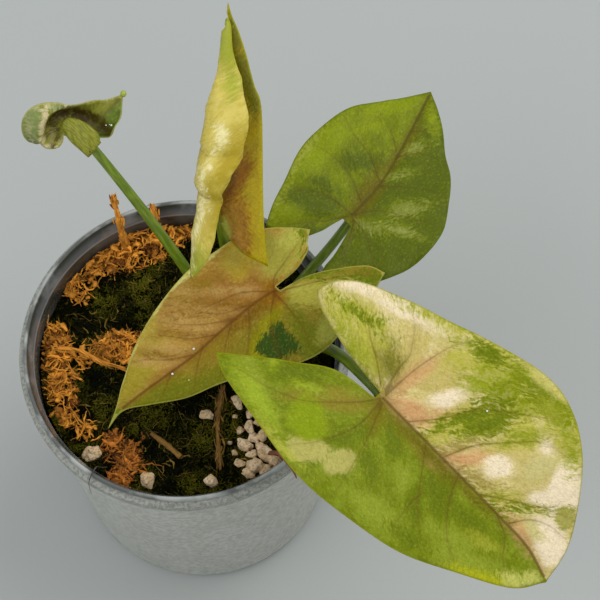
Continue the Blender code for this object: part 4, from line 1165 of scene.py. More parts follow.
class Bundle:
    """Many strands or flakes gathered into one mesh."""

    def __init__(self):
        self.places = []
        self.faces = []
        self.run = []

    def strand(self, points, wide, thick, sides=6, shade=0.5, twist=0.0):
        """A strand through the points, with its half width and half thickness at each."""
        points = np.asarray(points, float)
        count = len(points)
        wide = np.broadcast_to(wide, (count,))
        thick = np.broadcast_to(thick, (count,))
        first, second = frames_along(points)
        base = sum(len(block) for block in self.places)
        steps = np.concatenate([[0.0], np.cumsum(np.linalg.norm(np.diff(points, axis=0), axis=1))])
        for side in range(sides):
            angle = TURN * side / sides
            turned = twist * np.linspace(0, 1, count)
            across = np.cos(turned)[:, None] * first + np.sin(turned)[:, None] * second
            up = -np.sin(turned)[:, None] * first + np.cos(turned)[:, None] * second
            ring = points + math.cos(angle) * wide[:, None] * across + math.sin(angle) * thick[:, None] * up
            self.places.append(ring)
            self.run.append(np.column_stack([steps, np.full(count, angle), np.broadcast_to(shade, (count,))]))
        for side in range(sides):
            here, after = base + side * count, base + ((side + 1) % sides) * count
            for step in range(count - 1):
                self.faces.append((here + step, after + step, after + step + 1, here + step + 1))
        self.faces.append([base + side * count for side in range(sides)][::-1])
        self.faces.append([base + side * count + count - 1 for side in range(sides)])

    def lump(self, middle, sizes, seed, shade=0.5, detail=3, rough=0.22, turn=None, chips=0):
        """A pitted, uneven lump, with flat faces where it is chipped."""
        builder = bmesh.new()
        bmesh.ops.create_icosphere(builder, subdivisions=detail, radius=1.0)
        draw = random.Random(seed)
        spin = turn or Matrix.Rotation(draw.uniform(0, TURN), 3, "Z")
        shift = Vector((seed * 3.7, seed * 1.3, 0.0))
        base = sum(len(block) for block in self.places)
        block = []
        cuts = [Vector([draw.gauss(0, 1) for _ in range(3)]).normalized() for _ in range(chips)]
        depths = [draw.uniform(0.6, 0.88) for _ in cuts]
        for vert in builder.verts:
            for facing, depth in zip(cuts, depths):
                vert.co -= facing * max(0.0, vert.co @ facing - depth)
            swell = 1 + rough * noise.noise(vert.co * 1.3 + shift) + 0.45 * rough * noise.noise(vert.co * 4.0 + shift)
            shaped = Vector([size * part * swell for size, part in zip(sizes, vert.co)])
            block.append(Vector(middle) + spin @ shaped)
        self.places.append(np.array(block))
        self.faces.extend([base + vert.index for vert in face.verts] for face in builder.faces)
        spots = np.array([vert.co[:2] for vert in builder.verts])
        self.run.append(np.column_stack([spots, np.full(len(block), shade)]))
        builder.free()

    def piece(self, name, finish, slot, nodes=(), smooth=True):
        places = np.vstack(self.places)
        return add_piece(name, places, self.faces, finish, nodes, {"run": np.vstack(self.run)}, smooth)


def pot_radius(height):
    share = height / (POT_HEIGHT - COLLAR_DEPTH)
    return BASE_RADIUS + (BODY_TOP_RADIUS - BASE_RADIUS) * share


def moss_height(x, y):
    swell = math.sin(x / 5.3 + 1.0) * math.sin(y / 4.7 + 0.4)
    ripple = math.sin(x / 2.9) * math.cos(y / 3.3 + 0.5)
    near_stem = math.exp(-((x - STEM_PLACE[0]) ** 2 + (y - STEM_PLACE[1]) ** 2) / 90.0)
    return MOSS_TOP + MOSS_RELIEF * (swell + 0.6 * ripple) * (1 - near_stem)


def keep_in_pot(place):
    reach = math.hypot(place[0], place[1])
    scale = min(1.0, ROOM_RADIUS / max(reach, 1e-6))
    return np.array((place[0] * scale, place[1] * scale, place[2]))


def over_lip(heading, profile, sway):
    places = []
    for index, (radius, height) in enumerate(profile):
        angle = math.radians(heading) + sway * index / radius
        places.append((radius * math.cos(angle), radius * math.sin(angle), height))
    return smooth_run(places, 5)


def strand_finish(name, dark, light, roughness, grain=3.0):
    """A dry, lengthwise grained finish that varies from strand to strand."""
    finish = Finish(name)
    run = finish.attribute("run")
    shade = finish.part(run, 2)
    streaks = finish.noise(finish.stretch(run, (0.4, 2.2, 5.0)), grain, 4.0)
    amount = finish.math("ADD", finish.math("MULTIPLY", shade, 0.75), finish.math("MULTIPLY", streaks, 0.5))
    middle = tuple(0.42 * start + 0.58 * end for start, end in zip(dark, light))
    colour = finish.mix(finish.spread(amount, 0.15, 0.6), tuple(dark), middle)
    colour = finish.mix(finish.spread(amount, 0.6, 1.05), colour, tuple(light))
    finish.bump(streaks, 0.6, 0.0002)
    return finish.surface(colour, roughness, specular_ior_level=0.25)


def chip(bundle, draw, foot, dome, turn, height, scale=1.0, shade=0.25):
    """One curled chip or thin strand of fibre, lying on the moss or on the chips below it."""
    flat_chip = draw.random() < 0.45
    length = draw.uniform(1.6, 4.6) if flat_chip else draw.uniform(2.2, 6.5)
    lean = turn + draw.gauss(0, 1.2)
    bow = draw.uniform(0.5, 3.2) if flat_chip else draw.uniform(0.3, 2.4)
    radius = length / bow
    out = np.array((math.cos(lean), math.sin(lean), draw.uniform(-0.3, 0.4)))
    curl = np.array((draw.gauss(0, 0.8), draw.gauss(0, 0.8), draw.choice((-0.7, 0.5, 0.9))))
    curl = curl - out * (curl @ out) / (out @ out)
    curl = curl / np.linalg.norm(curl)
    low = moss_height(foot[0], foot[1]) + 0.3
    places = []
    for angle in np.linspace(-bow / 2, bow / 2, CHIP_POINTS):
        moved = np.array((foot[0], foot[1], low + dome)) + out * radius * math.sin(angle)
        moved = moved + curl * radius * (1 - math.cos(angle)) + [draw.gauss(0, 0.1) for _ in range(3)]
        moved = keep_in_pot(moved)
        moved[2] = min(max(moved[2], moss_height(moved[0], moved[1]) + 0.2), low + height * 1.15 + 0.8)
        places.append(moved)
    taper = np.sin(np.linspace(0.3, math.pi - 0.2, CHIP_POINTS)) ** 0.7
    jag = np.array([draw.uniform(0.5, 1.4) for _ in range(CHIP_POINTS)])
    wide = taper * jag * scale * (draw.uniform(0.3, 0.75) if flat_chip else draw.uniform(0.1, 0.24))
    # Painted shade: chips lying low in the clump are darker, those near its top paler.
    shade = draw.gauss(shade, 0.2) + 0.5 * dome / max(height, 1.0)
    shades = np.clip([shade + draw.gauss(0, 0.14) for _ in range(CHIP_POINTS)], 0, 1)
    bundle.strand(places, wide, np.minimum(wide, 0.3) * 0.75, 5, shades, draw.uniform(-1.4, 1.4))


def place_in_clump(draw, clump, share=1.0):
    """A random place within a clump's oval, and how far out it lies, as a share of the reach."""
    (x, y), reach, heading = clump[:3]
    turn = math.radians(heading)
    distance = share * math.sqrt(draw.random())
    angle = draw.uniform(0, TURN)
    long_place = distance * math.cos(angle) * reach[0]
    short_place = distance * math.sin(angle) * reach[1]
    px = x + long_place * math.cos(turn) - short_place * math.sin(turn)
    py = y + long_place * math.sin(turn) + short_place * math.cos(turn)
    return px, py, distance


def fray(bundle, draw, places, count, spread, length, wide):
    """Small chips that lie along a strand and stand a little off it."""
    for _ in range(count):
        start = draw.random() * (len(places) - 1)
        index = min(int(start), len(places) - 2)
        way = places[index + 1] - places[index]
        way = way / max(np.linalg.norm(way), 1e-6)
        off = np.array([draw.gauss(0, 1) for _ in range(3)])
        off = (off - way * (off @ way)) * spread
        reach = draw.uniform(0.5, 1.0) * length
        bend = np.array([draw.gauss(0, 0.22) for _ in range(3)]) * reach
        foot = places[index] + off
        run = [foot - way * reach / 2, foot + bend * 0.4, foot + way * reach / 2 + bend]
        half = draw.uniform(0.4, 1.0) * wide
        bundle.strand(smooth_run(run, 3), half * np.array(FRAY_TAPER), half * 0.45, 5, draw.random())


class PLANT_OT_blades(bpy.types.Operator):
    """Build the five blades, each painted on its flat form and bent into place"""

    bl_idname = "plant.blades"
    bl_label = "Blades"

    def execute(self, context):
        look = context.scene.plant_blades
        for name, blade in BLADES.items():
            places, faces, attributes = blade_shell(name, blade, look)
            finish = blade_finish(name)
            add_piece("blade_" + name, places, faces, finish, ["leaf_" + name], attributes)
        flap = Finish("blade_flap")
        run = flap.attribute("run")
        streaks = flap.noise(flap.stretch(run, (0.5, 2.5, 1.0), 0.5), 1.0, 4.0)
        tone = flap.mix(flap.spread(streaks, 0.35, 0.65), paint(106, 108, 22), paint(142, 143, 50))
        flap.bump(streaks, 0.4, 0.0002)
        places, faces, attributes = small_flap()
        skin = flap.surface(tone, 0.42, specular_ior_level=0.2)
        add_piece("blade_small_flap", places, faces, skin, (), attributes)
        return {"FINISHED"}


class PLANT_OT_petioles(bpy.types.Operator):
    """Build the five petioles and finish the stem"""

    bl_idname = "plant.petioles"
    bl_label = "Petioles"

    def execute(self, context):
        look = context.scene.plant_blades
        finish = Finish("petiole")
        run = finish.attribute("run")
        ridges = finish.noise(finish.stretch(run, (0.1, 0.7, 3.0)), 2.0, 4.0)
        length = finish.spread(finish.part(run, 0), 0.0, 16.0)
        green = finish.mix(finish.spread(ridges, 0.4, 0.65), tuple(look.petiole_colour), tuple(look.petiole_light))
        deep = finish.mix(0.5, green, paint(52, 70, 10))
        colour = finish.mix(length, deep, green)
        finish.bump(ridges, 0.1, 0.0002)
        skin = finish.surface(colour, 0.32, specular_ior_level=0.5)
        for name, (route, thick, thin) in PETIOLE_ROUTES.items():
            blade = BLADES[name]
            facing = blade_frame(blade)[2]
            under = np.array(blade["at"]) - facing * 0.5
            places = smooth_run([*route, under - facing * 2.6, under], 8)
            share = np.linspace(0, 1, len(places))
            radii = thick + (thin - thick) * share
            radii = radii * (1 + 0.25 * np.exp(-share / 0.06) + 0.22 * np.exp(-(1 - share) / 0.03))
            bundle = Bundle()
            bundle.strand(places, radii, radii * 0.96, 20)
            bundle.piece("petiole_skin_" + name, skin, "petiole", ["petiole_" + name])
        stem = Finish("stem_skin")
        ringed = stem.noise(stem.stretch(stem.object_place(), (200.0, 200.0, 900.0)), 1.0, 3.0)
        stem.bump(ringed, 0.5, 0.0003)
        tone = stem.mix(ringed, paint(70, 84, 20), paint(120, 120, 50))
        dress_solid("stem", stem.surface(tone, 0.5))
        return {"FINISHED"}


class PLANT_OT_drops(bpy.types.Operator):
    """Set water drops on the blades, and the green one at the small blade's tip"""

    bl_idname = "plant.drops"
    bl_label = "Drops"

    def execute(self, context):
        drops = Bundle()
        for index, (name, across, along, radius) in enumerate(DROPS):
            place, facing = blade_point(name, across, along)
            middle = place + facing * radius * 0.5
            drops.lump(middle, (radius, radius, radius * 0.8), index, 0.5, 2, 0.0)
        # Painted reflection: the clear drops are given an opaque pale grey-white tone for the light they mirror.
        drop_finish_and_lip_shade = Finish("water")
        speck = drop_finish_and_lip_shade.noise(drop_finish_and_lip_shade.object_place(), 900.0)
        skin = drop_finish_and_lip_shade.surface(drop_finish_and_lip_shade.mix(speck, (0.55, 0.58, 0.5), (0.8, 0.82, 0.76)), 0.05)
        drops.piece("water_drops", skin, "leaf_small")
        tip = Bundle()
        place, facing = blade_point("small", -0.3, 16.3)
        tip.lump(place - facing * 0.1, (0.95, 0.85, 0.85), 3, 0.5, 3, 0.05)
        green = Finish("tip_drop")
        tone = green.mix(green.noise(green.object_place(), 700.0), paint(128, 146, 30), paint(170, 180, 70))
        tip.piece("tip_drop", green.surface(tone, 0.15), "leaf_small")
        return {"FINISHED"}


class PLANT_OT_moss(bpy.types.Operator):
    """Lay the moss carpet with its sprigs, and finish the mix under it"""

    bl_idname = "plant.moss"
    bl_label = "Moss"

    def execute(self, context):
        look = context.scene.plant_ground
        outer = pot_radius(MOSS_TOP) - WALL - 0.3
        rings, sectors = MOSS_RINGS, MOSS_SECTORS
        places = [(0.0, 0.0)]
        for ring in range(1, rings + 1):
            reach = outer * ring / rings
            for sector in range(sectors):
                angle = TURN * (sector + 0.5 * (ring % 2)) / sectors
                places.append((reach * math.cos(angle), reach * math.sin(angle)))
        lifted = []
        for x, y in places:
            bumps = 0.9 * noise.noise(Vector((x, y, 3.0)) * 0.35) + 0.7 * noise.noise(Vector((x, y, 9.0)) * 0.9)
            lifted.append((x, y, moss_height(x, y) + bumps + 0.35 * noise.noise(Vector((x, y, 1.0)) * 2.2)))
        floor = [(x, y, MOSS_TOP - MOSS_DEPTH) for x, y in places]
        faces = []
        for sector in range(sectors):
            after = (sector + 1) % sectors
            faces.append((0, 1 + sector, 1 + after))
            for ring in range(rings - 1):
                inner, ringed = 1 + ring * sectors, 1 + (ring + 1) * sectors
                faces.append((inner + sector, ringed + sector, ringed + after, inner + after))
        finish = Finish("moss_carpet")
        place = finish.object_place()
        # Painted shade: the moss is darkened where its bump noise is low, in its hollows.
        depth = finish.noise(place, 900.0, 5.0)
        patch = finish.noise(place, 120.0, 3.0)
        amount = finish.math("MULTIPLY", finish.spread(depth, 0.45, 0.75), finish.spread(patch, 0.3, 0.75))
        colour = finish.mix(finish.math("MULTIPLY", amount, 0.6), tuple(look.moss_dark), tuple(look.moss_light))
        finish.bump(depth, 1.0, 0.0006)
        moss = finish.surface(colour, 0.95, specular_ior_level=0.0)
        whole = two_sided(faces, len(lifted))
        add_piece("moss_carpet", [*lifted, *floor], whole, moss, ["moss"])
        self.sprigs(look)
        mix = Finish("mix_crumb")
        crumb = mix.noise(mix.object_place(), 500.0, 5.0)
        mix.bump(crumb, 1.0, 0.0008)
        tone = mix.mix(mix.spread(crumb, 0.35, 0.7), paint(30, 22, 12), paint(86, 62, 36))
        dress_solid("growing_mix", mix.surface(tone, 0.95, specular_ior_level=0.1))
        return {"FINISHED"}

    def sprigs(self, look):
        """Small tufts of narrow leaves all over the moss."""
        draw = random.Random(5)
        places, faces, shades = [], [], []
        for _ in range(look.sprigs):
            reach = SPRIG_REACH * math.sqrt(draw.random())
            angle = draw.uniform(0, TURN)
            x, y = reach * math.cos(angle), reach * math.sin(angle)
            foot = np.array((x, y, moss_height(x, y) - 0.2 + 0.9 * noise.noise(Vector((x, y, 3.0)) * 0.35)))
            patch = noise.noise(Vector((x, y, 7.0)) * 0.12)
            shade = min(1.0, max(0.0, 0.12 + 1.4 * patch + draw.uniform(-0.2, 0.4)))
            spin = draw.uniform(0, TURN)
            for leaf in range(SPRIG_LEAVES):
                heading = spin + TURN * leaf / SPRIG_LEAVES + draw.uniform(-0.3, 0.3)
                out = np.array((math.cos(heading), math.sin(heading), 0.0))
                aside = np.array((-math.sin(heading), math.cos(heading), 0.0)) * draw.uniform(0.14, 0.24)
                length = draw.uniform(0.8, 1.7)
                lift = np.array((0.0, 0.0, draw.uniform(0.3, 1.0)))
                tip = foot + (out + lift) * length
                middle = foot + (out * 0.5 + lift * 0.7) * length
                start = len(places)
                places += [foot - aside * 0.5, foot + aside * 0.5, middle + aside, middle - aside, tip]
                faces += [(start, start + 1, start + 2, start + 3), (start + 3, start + 2, start + 4)]
                # Painted shade: each sprig leaf is darker at its foot, down in the moss, and paler towards its tip.
                shades += [(0.0, 0.0, shade * 0.5)] * 2 + [(0.0, 0.0, shade)] * 2 + [(0.0, 0.0, shade * 1.2)]
        self.threads()
        finish = Finish("moss_sprig")
        shade = finish.part(finish.attribute("run"), 2)
        speck = finish.noise(finish.object_place(), 700.0)
        amount = finish.math("MULTIPLY", shade, finish.spread(speck, 0.2, 0.7, 0.5, 1.1))
        colour = finish.mix(amount, tuple(look.moss_dark), tuple(look.moss_light))
        skin = finish.surface(colour, 0.8, specular_ior_level=0.06)
        places = [keep_in_pot(place) for place in places]
        add_piece("moss_sprigs", places, faces, skin, (), {"run": shades}, smooth=False)

    def threads(self):
        """Old stems and bits of fibre caught in the moss."""
        draw = random.Random(17)
        bundle = Bundle()
        for _ in range(THREADS):
            reach, angle = THREAD_REACH * math.sqrt(draw.random()), draw.uniform(0, TURN)
            foot = (reach * math.cos(angle), reach * math.sin(angle))
            chip(bundle, draw, foot, draw.uniform(0.0, 1.0), angle, 1.2, 0.4, 0.1)
        finish = strand_finish("moss_thread", paint(20, 16, 4), paint(150, 122, 44), 0.85)
        bundle.piece("moss_threads", finish, "moss")


class PLANT_OT_fibre(bpy.types.Operator):
    """Build the three clumps of matted fibre"""

    bl_idname = "plant.fibre"
    bl_label = "Fibre"

    def execute(self, context):
        look = context.scene.plant_ground
        finish = strand_finish("coir", look.fibre_dark, look.fibre_light, 0.85)
        for seed, (name, clump) in enumerate(FIBRE_CLUMPS.items()):
            self.clump(name, clump, look.strands, 31 + seed).piece(name + "_strands", finish, "fibre", [name])
        return {"FINISHED"}

    def clump(self, name, clump, count, seed):
        _, reach, heading, height, long_fibres = clump
        draw = random.Random(seed)
        size = max(reach[0] * reach[1] / 90.0, 0.5)
        bundle = Bundle()
        turn = math.radians(heading)
        strays = STRAY_CHIPS.get(name, ())
        for _ in range(int(count * size)):
            px, py, distance = place_in_clump(draw, clump)
            dome = height * max(1 - distance**2, 0.0) * draw.uniform(0.1, 1.0)
            if strays and draw.random() < STRAY_SHARE:
                px, py, spread = draw.choice(strays)
                px, py = px + draw.gauss(0, spread), py + draw.gauss(0, spread)
                dome = draw.uniform(0.2, 2.4)
            patch = 0.38 + 0.7 * noise.noise(Vector((px * 0.28, py * 0.28, seed)))
            chip(bundle, draw, (px, py), dome, turn, height, draw.choice((0.7, 1.0, 1.0, 1.7)), patch)
        # Painted shade: dark crumbs in the gaps under the chips stand for the shadow there.
        for index in range(int(SHADE_CRUMBS * size)):
            px, py, distance = place_in_clump(draw, clump, 0.95)
            sizes = (draw.uniform(1.0, 2.2), draw.uniform(0.7, 1.3), draw.uniform(0.4, 0.8))
            place = keep_in_pot((px, py, moss_height(px, py) + 0.5 * height * (1 - distance**2)))
            place[:2] *= min(1.0, CRUMB_REACH / max(math.hypot(place[0], place[1]), 1.0))
            bundle.lump(place, sizes, seed * 50 + index, draw.uniform(0.0, 0.3), 2, 0.9)
        for route in long_fibres:
            places = smooth_run(route, 6)
            share = np.linspace(0, 1, len(places))
            jag = np.array([draw.uniform(0.8, 1.2) for _ in places])
            if name == "fibre_left":
                bundle.strand(places, 0.5 * jag, 0.3, 8, 0.55, 1.2)
                fray(bundle, draw, places, 40, 0.35, 5.0, 0.22)
            else:
                wide = 1.15 * jag * (1.15 - 0.55 * share)
                bundle.strand(places, wide, wide * 0.55, 8, 0.3 + 0.2 * jag, 1.2)
                fray(bundle, draw, places, 110, 0.55, 2.4, 0.42)
        return bundle


class PLANT_OT_grains(bpy.types.Operator):
    """Build the pumice grains"""

    bl_idname = "plant.grains"
    bl_label = "Pumice grains"

    def execute(self, context):
        look = context.scene.plant_ground
        finish = Finish("pumice_grain")
        place = finish.object_place()
        pits = finish.noise(place, 1400.0, 5.0)
        tint = finish.noise(place, 260.0, 2.0)
        pale = finish.mix(finish.spread(tint, 0.35, 0.65), tuple(look.pumice), paint(230, 204, 168))
        colour = finish.mix(finish.spread(pits, 0.55, 0.3, 0.0, 0.6), pale, paint(120, 90, 56))
        finish.bump(pits, 0.8, 0.0004)
        stone = finish.surface(colour, 0.9, specular_ior_level=0.2)
        heap = Bundle()
        for index, (x, y, long_reach, short_reach, heading) in enumerate(HEAP_GRAINS):
            middle = (x, y, moss_height(x, y) + short_reach * 0.8)
            spin = Matrix.Rotation(math.radians(heading), 3, "Z")
            heap.lump(middle, (long_reach, short_reach, short_reach), 40 + index, 0.5, 4, 0.3, spin, GRAIN_CHIPS)
        heap.piece("pumice_heap_grains", stone, "pumice", ["pumice_heap"])
        for index, (name, ((x, y), radius)) in enumerate(LOOSE_GRAINS.items()):
            grain = Bundle()
            middle = (x, y, moss_height(x, y) + radius)
            grain.lump(middle, (radius * 1.2, radius, radius * 0.95), 60 + index, 0.5, 4, 0.3, None, GRAIN_CHIPS)
            grain.piece("pumice_" + name, stone, "pumice", [name])
        return {"FINISHED"}


class PLANT_OT_litter(bpy.types.Operator):
    """Build the husk flakes, stick, brown strand, dry sheath tip and stray root"""

    bl_idname = "plant.litter"
    bl_label = "Husks and sticks"

    def execute(self, context):
        look = context.scene.plant_ground
        husk = strand_finish("husk_flake", paint(40, 20, 5), look.husk, 0.85)
        bark = strand_finish("bark", paint(60, 44, 14), paint(164, 122, 58), 0.85)
        dry = strand_finish("dry_sheath", paint(70, 36, 20), paint(150, 92, 66), 0.6)
        hair = strand_finish("root_hair", paint(36, 34, 34), paint(84, 78, 72), 0.6)
        draw = random.Random(9)
        for name, ((x, y), (long_reach, short_reach), heading) in HUSK_FLAKES.items():
            flake = Bundle()
            turn = math.radians(heading)
            for part in range(FLAKE_CURLS):
                shift = draw.uniform(-0.7, 0.7) * short_reach
                places = []
                for share in np.linspace(-1, 1, CURL_POINTS):
                    aside = shift + 0.9 * short_reach * (share * share - 0.4) * (1 if part % 2 else -1)
                    px = x + share * long_reach * 0.7 * math.cos(turn) - aside * math.sin(turn)
                    py = y + share * long_reach * 0.7 * math.sin(turn) + aside * math.cos(turn)
                    lift = 0.6 + part * 0.5 + 1.4 * share**2 * (part % 2) + draw.uniform(-0.15, 0.15)
                    places.append((px, py, moss_height(px, py) + lift))
                jag = np.array([draw.uniform(0.6, 1.4) for _ in range(CURL_POINTS)])
                taper = np.sin(np.linspace(0.3, math.pi - 0.3, CURL_POINTS))
                wide = short_reach * (0.5 - 0.06 * part) * taper * jag
                tones = [0.3 + 0.15 * part + draw.gauss(0, 0.2) for _ in range(CURL_POINTS)]
                tones = np.clip(tones, 0, 1)
                flake.strand(places, wide, 0.25, 7, tones, draw.uniform(-1.2, 1.2))
            for _ in range(FLAKE_CHIPS):
                px, py = x + draw.gauss(0, long_reach * 0.5), y + draw.gauss(0, long_reach * 0.45)
                chip(flake, draw, (px, py), draw.uniform(0.0, 2.0), turn, 2.6, 1.1, 0.15)
            flake.piece(name + "_curl", husk, "husk", [name])
        for name, (route, thick, thin) in LYING_RODS.items():
            run = smooth_run([(*place, 0.0) for place in route], 7)
            places = np.array([(px, py, moss_height(px, py) + thick + 0.2) for px, py, _ in run])
            share = np.linspace(0, 1, len(places))
            jag = np.array([draw.uniform(0.8, 1.2) for _ in share])
            wide = (thick + (thin - thick) * share) * jag
            rod = Bundle()
            if name == "stick":
                wide = wide * (0.55 + 0.45 * np.clip(share * 2, 0, 1))
                rod.strand(places, wide, wide * 0.85, 12, np.clip(0.25 + 0.5 * share, 0, 1), 1.2)
                fray(rod, draw, places, 14, 0.35, 2.6, 0.2)
            else:
                rod.strand(places, wide * 0.8, wide * 0.6, 10, np.clip(0.1 + 0.6 * jag - 0.3, 0, 1), 1.2)
                fray(rod, draw, places, 120, 0.6, 3.4, 0.3)
            rod.piece(name + "_bark", bark, "husk" if name == "stick" else "fibre", [name])
        for name, route, wide, finish in (
            ("dry_sheath_tip", SHEATH_ROUTE, 0.8, dry), ("stray_root", STRAY_ROOT_ROUTE, 0.3, hair),
        ):
            places = over_lip(*route)
            share = np.linspace(0, 1, len(places))
            width = wide * (1 - 0.75 * share**1.5)
            rod = Bundle()
            rod.strand(places, width, width * 0.6, 10, 0.5, 0.8)
            rod.piece(name + "_skin", finish, "husk" if name == "dry_sheath_tip" else "root_hair", [name])
        return {"FINISHED"}


class PLANT_OT_pot(bpy.types.Operator):
    """Turn the clear pot with its lip, collar and drain holes"""

    bl_idname = "plant.pot"
    bl_label = "Pot"

    def execute(self, context):
        look = context.scene.plant_pot
        inner_top = LIP_RADIUS - 2.5
        collar_low = POT_HEIGHT - COLLAR_DEPTH
        profile = [
            (0, FLOOR_THICKNESS), (BASE_RADIUS - 3.0, FLOOR_THICKNESS), (BASE_RADIUS - 2.0, 2.2),
            (pot_radius(4.0) - WALL, 4.0), (pot_radius(collar_low) - WALL, collar_low),
            (inner_top, POT_HEIGHT - 4.6), (inner_top + 0.15, POT_HEIGHT - 4.2),
            (inner_top + 0.2, POT_HEIGHT - 3.4),
            (LIP_RADIUS - 1.3, POT_HEIGHT - 0.8), (LIP_RADIUS - 1.15, POT_HEIGHT - 0.3),
            (LIP_RADIUS - 0.85, POT_HEIGHT), (LIP_RADIUS - 0.4, POT_HEIGHT),
            (LIP_RADIUS - 0.1, POT_HEIGHT - 0.25),
            (LIP_RADIUS, POT_HEIGHT - 0.7), (LIP_RADIUS, POT_HEIGHT - 2.0),
            (LIP_RADIUS + 0.4, POT_HEIGHT - 2.5),
            (COLLAR_RADIUS - 0.3, POT_HEIGHT - 2.8), (COLLAR_RADIUS, POT_HEIGHT - 3.2),
            (COLLAR_RADIUS, POT_HEIGHT - 4.0), (COLLAR_RADIUS - 0.12, POT_HEIGHT - 4.2),
            (COLLAR_RADIUS, POT_HEIGHT - 4.4), (COLLAR_RADIUS - 0.1, POT_HEIGHT - 6.0),
            (COLLAR_RADIUS - 0.9, collar_low + 1.0), (COLLAR_RADIUS - 1.9, collar_low - 0.8),
            (pot_radius(collar_low - 3.0) + 0.2, collar_low - 3.0),
            (pot_radius(collar_low - 6.0), collar_low - 6.0),
            (pot_radius(3.0), 3.0), (BASE_RADIUS - 0.3, 1.6),
            (BASE_RADIUS - 1.0, 0.8), (BASE_RADIUS - 2.5, 0), (0, 0),
        ]
        builder = bmesh.new()
        ring = [builder.verts.new((radius * MM, 0, height * MM)) for radius, height in profile]
        for start, end in zip(ring, ring[1:]):
            builder.edges.new((start, end))
        mesh = bpy.data.meshes.new("pot_shell")
        builder.to_mesh(mesh)
        builder.free()
        pot = bpy.data.objects.new("pot_shell", mesh)
        context.scene.collection.objects.link(pot)
        screw = pot.modifiers.new("Turn", "SCREW")
        screw.steps = screw.render_steps = look.turned_steps
        screw.use_merge_vertices = True
        screw.merge_threshold = 0.00001
        holes = self.hole_cutters(context)
        cut = pot.modifiers.new("Drain", "BOOLEAN")
        cut.operand_type = "COLLECTION"
        cut.collection = holes
        cut.solver = "EXACT"
        graph = context.evaluated_depsgraph_get()
        pot.data = bpy.data.meshes.new_from_object(pot.evaluated_get(graph))
        pot.modifiers.clear()
        for cutter in list(holes.objects):
            bpy.data.objects.remove(cutter)
        bpy.data.collections.remove(holes)
        self.zones(pot.data)
        pot.data.materials.clear()
        pot.data.materials.append(self.plastic(look))
        pot.data.shade_smooth()
        pot.data.set_sharp_from_angle(angle=math.radians(SHARP_ANGLE))
        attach(pot, "root")
        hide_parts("pot")
        return {"FINISHED"}

    def hole_cutters(self, context):
        group = bpy.data.collections.new("drain_holes")
        context.scene.collection.children.link(group)
        for index in range(DRAIN_HOLES):
            angle = TURN * (index + 0.5) / DRAIN_HOLES
            builder = bmesh.new()
            bmesh.ops.create_cone(
                builder, cap_ends=True, segments=28, depth=10 * MM,
                radius1=DRAIN_HOLE_RADIUS * MM, radius2=DRAIN_HOLE_RADIUS * MM,
            )
            mesh = bpy.data.meshes.new("drain_hole")
            builder.to_mesh(mesh)
            builder.free()
            hole = bpy.data.objects.new("drain_hole", mesh)
            hole.location = Vector((math.cos(angle), math.sin(angle), 0)) * DRAIN_CIRCLE_RADIUS * MM
            group.objects.link(hole)
        return group

    def zones(self, mesh):
        """Marks where the plastic shows its lip, its inner wall or its frosted body, and the line along the lip's
        outer edge where highlights are painted.
        """
        values = []
        for vert in mesh.vertices:
            radius, height = math.hypot(vert.co.x, vert.co.y) / MM, vert.co.z / MM
            within = radius < pot_radius(height) - 0.5 or (height > POT_HEIGHT - 8 and radius < LIP_RADIUS - 2.0)
            lip = 1.0 if height > POT_HEIGHT - 3.6 and radius < LIP_RADIUS - 1.1 else 0.0
            line = 1.0 if height > POT_HEIGHT - 0.8 and radius > LIP_RADIUS - 0.9 else 0.0
            values.append((1.0 if within and not lip else 0.0, lip, line))
        mesh.attributes.new("zone", "FLOAT_VECTOR", "POINT").data.foreach_set(
            "vector", np.array(values, np.float32).reshape(-1)
        )

    def plastic(self, look):
        finish = Finish("clear_plastic_shell")
        place = finish.object_place()
        zone = finish.attribute("zone")
        blotch = finish.noise(place, 110.0, 4.0)
        speck = finish.noise(place, 1300.0, 4.0)
        flecks = finish.noise(place, 620.0, 4.0)
        cloudy = finish.math("ADD", finish.math("MULTIPLY", blotch, 0.2), finish.math("MULTIPLY", flecks, 0.8))
        light = finish.mix(0.5, tuple(look.frosted), paint(196, 197, 190))
        dark = finish.mix(0.5, tuple(look.frosted), paint(140, 140, 130))
        body = finish.mix(finish.spread(cloudy, 0.36, 0.64), dark, light)
        body = finish.mix(finish.spread(speck, 0.45, 0.25, 0.0, 0.5), body, paint(112, 112, 104))
        height = finish.part(place, 2)
        # Painted shade: a mottled darker band on the collar just below the lip.
        drop_finish_and_lip_shade = finish.spread(speck, 0.42, 0.62, 0.45, 0.9)
        painted_shade_near_lip = finish.math("MULTIPLY", finish.spread(height, 0.091, 0.1005, 0.0, 0.8), drop_finish_and_lip_shade)
        body = finish.mix(painted_shade_near_lip, body, paint(84, 86, 79))
        # Painted shade: the inner wall above the moss is the body's clear plastic, painted dark for the shade inside
        # the pot.
        inner = finish.mix(finish.spread(blotch, 0.35, 0.65), tuple(look.inside), paint(104, 102, 96))
        # Painted highlight: a thin bright ring on the inner wall a few millimetres below the lip.
        ring = finish.math("MULTIPLY", finish.spread(height, 0.0978, 0.0983), finish.spread(height, 0.0992, 0.0987))
        inner = finish.mix(finish.math("MULTIPLY", ring, 0.6), inner, paint(176, 180, 182))
        rim = finish.mix(finish.spread(height, 0.0998, 0.1024), paint(112, 116, 118), tuple(look.lip))
        # Painted highlights: pale blotches on the lip.
        rim = finish.mix(finish.spread(blotch, 0.5, 0.7, 0.0, 0.6), rim, paint(168, 172, 174))
        colour = finish.mix(finish.part(zone, 0), body, inner)
        colour = finish.mix(finish.part(zone, 1), colour, rim)
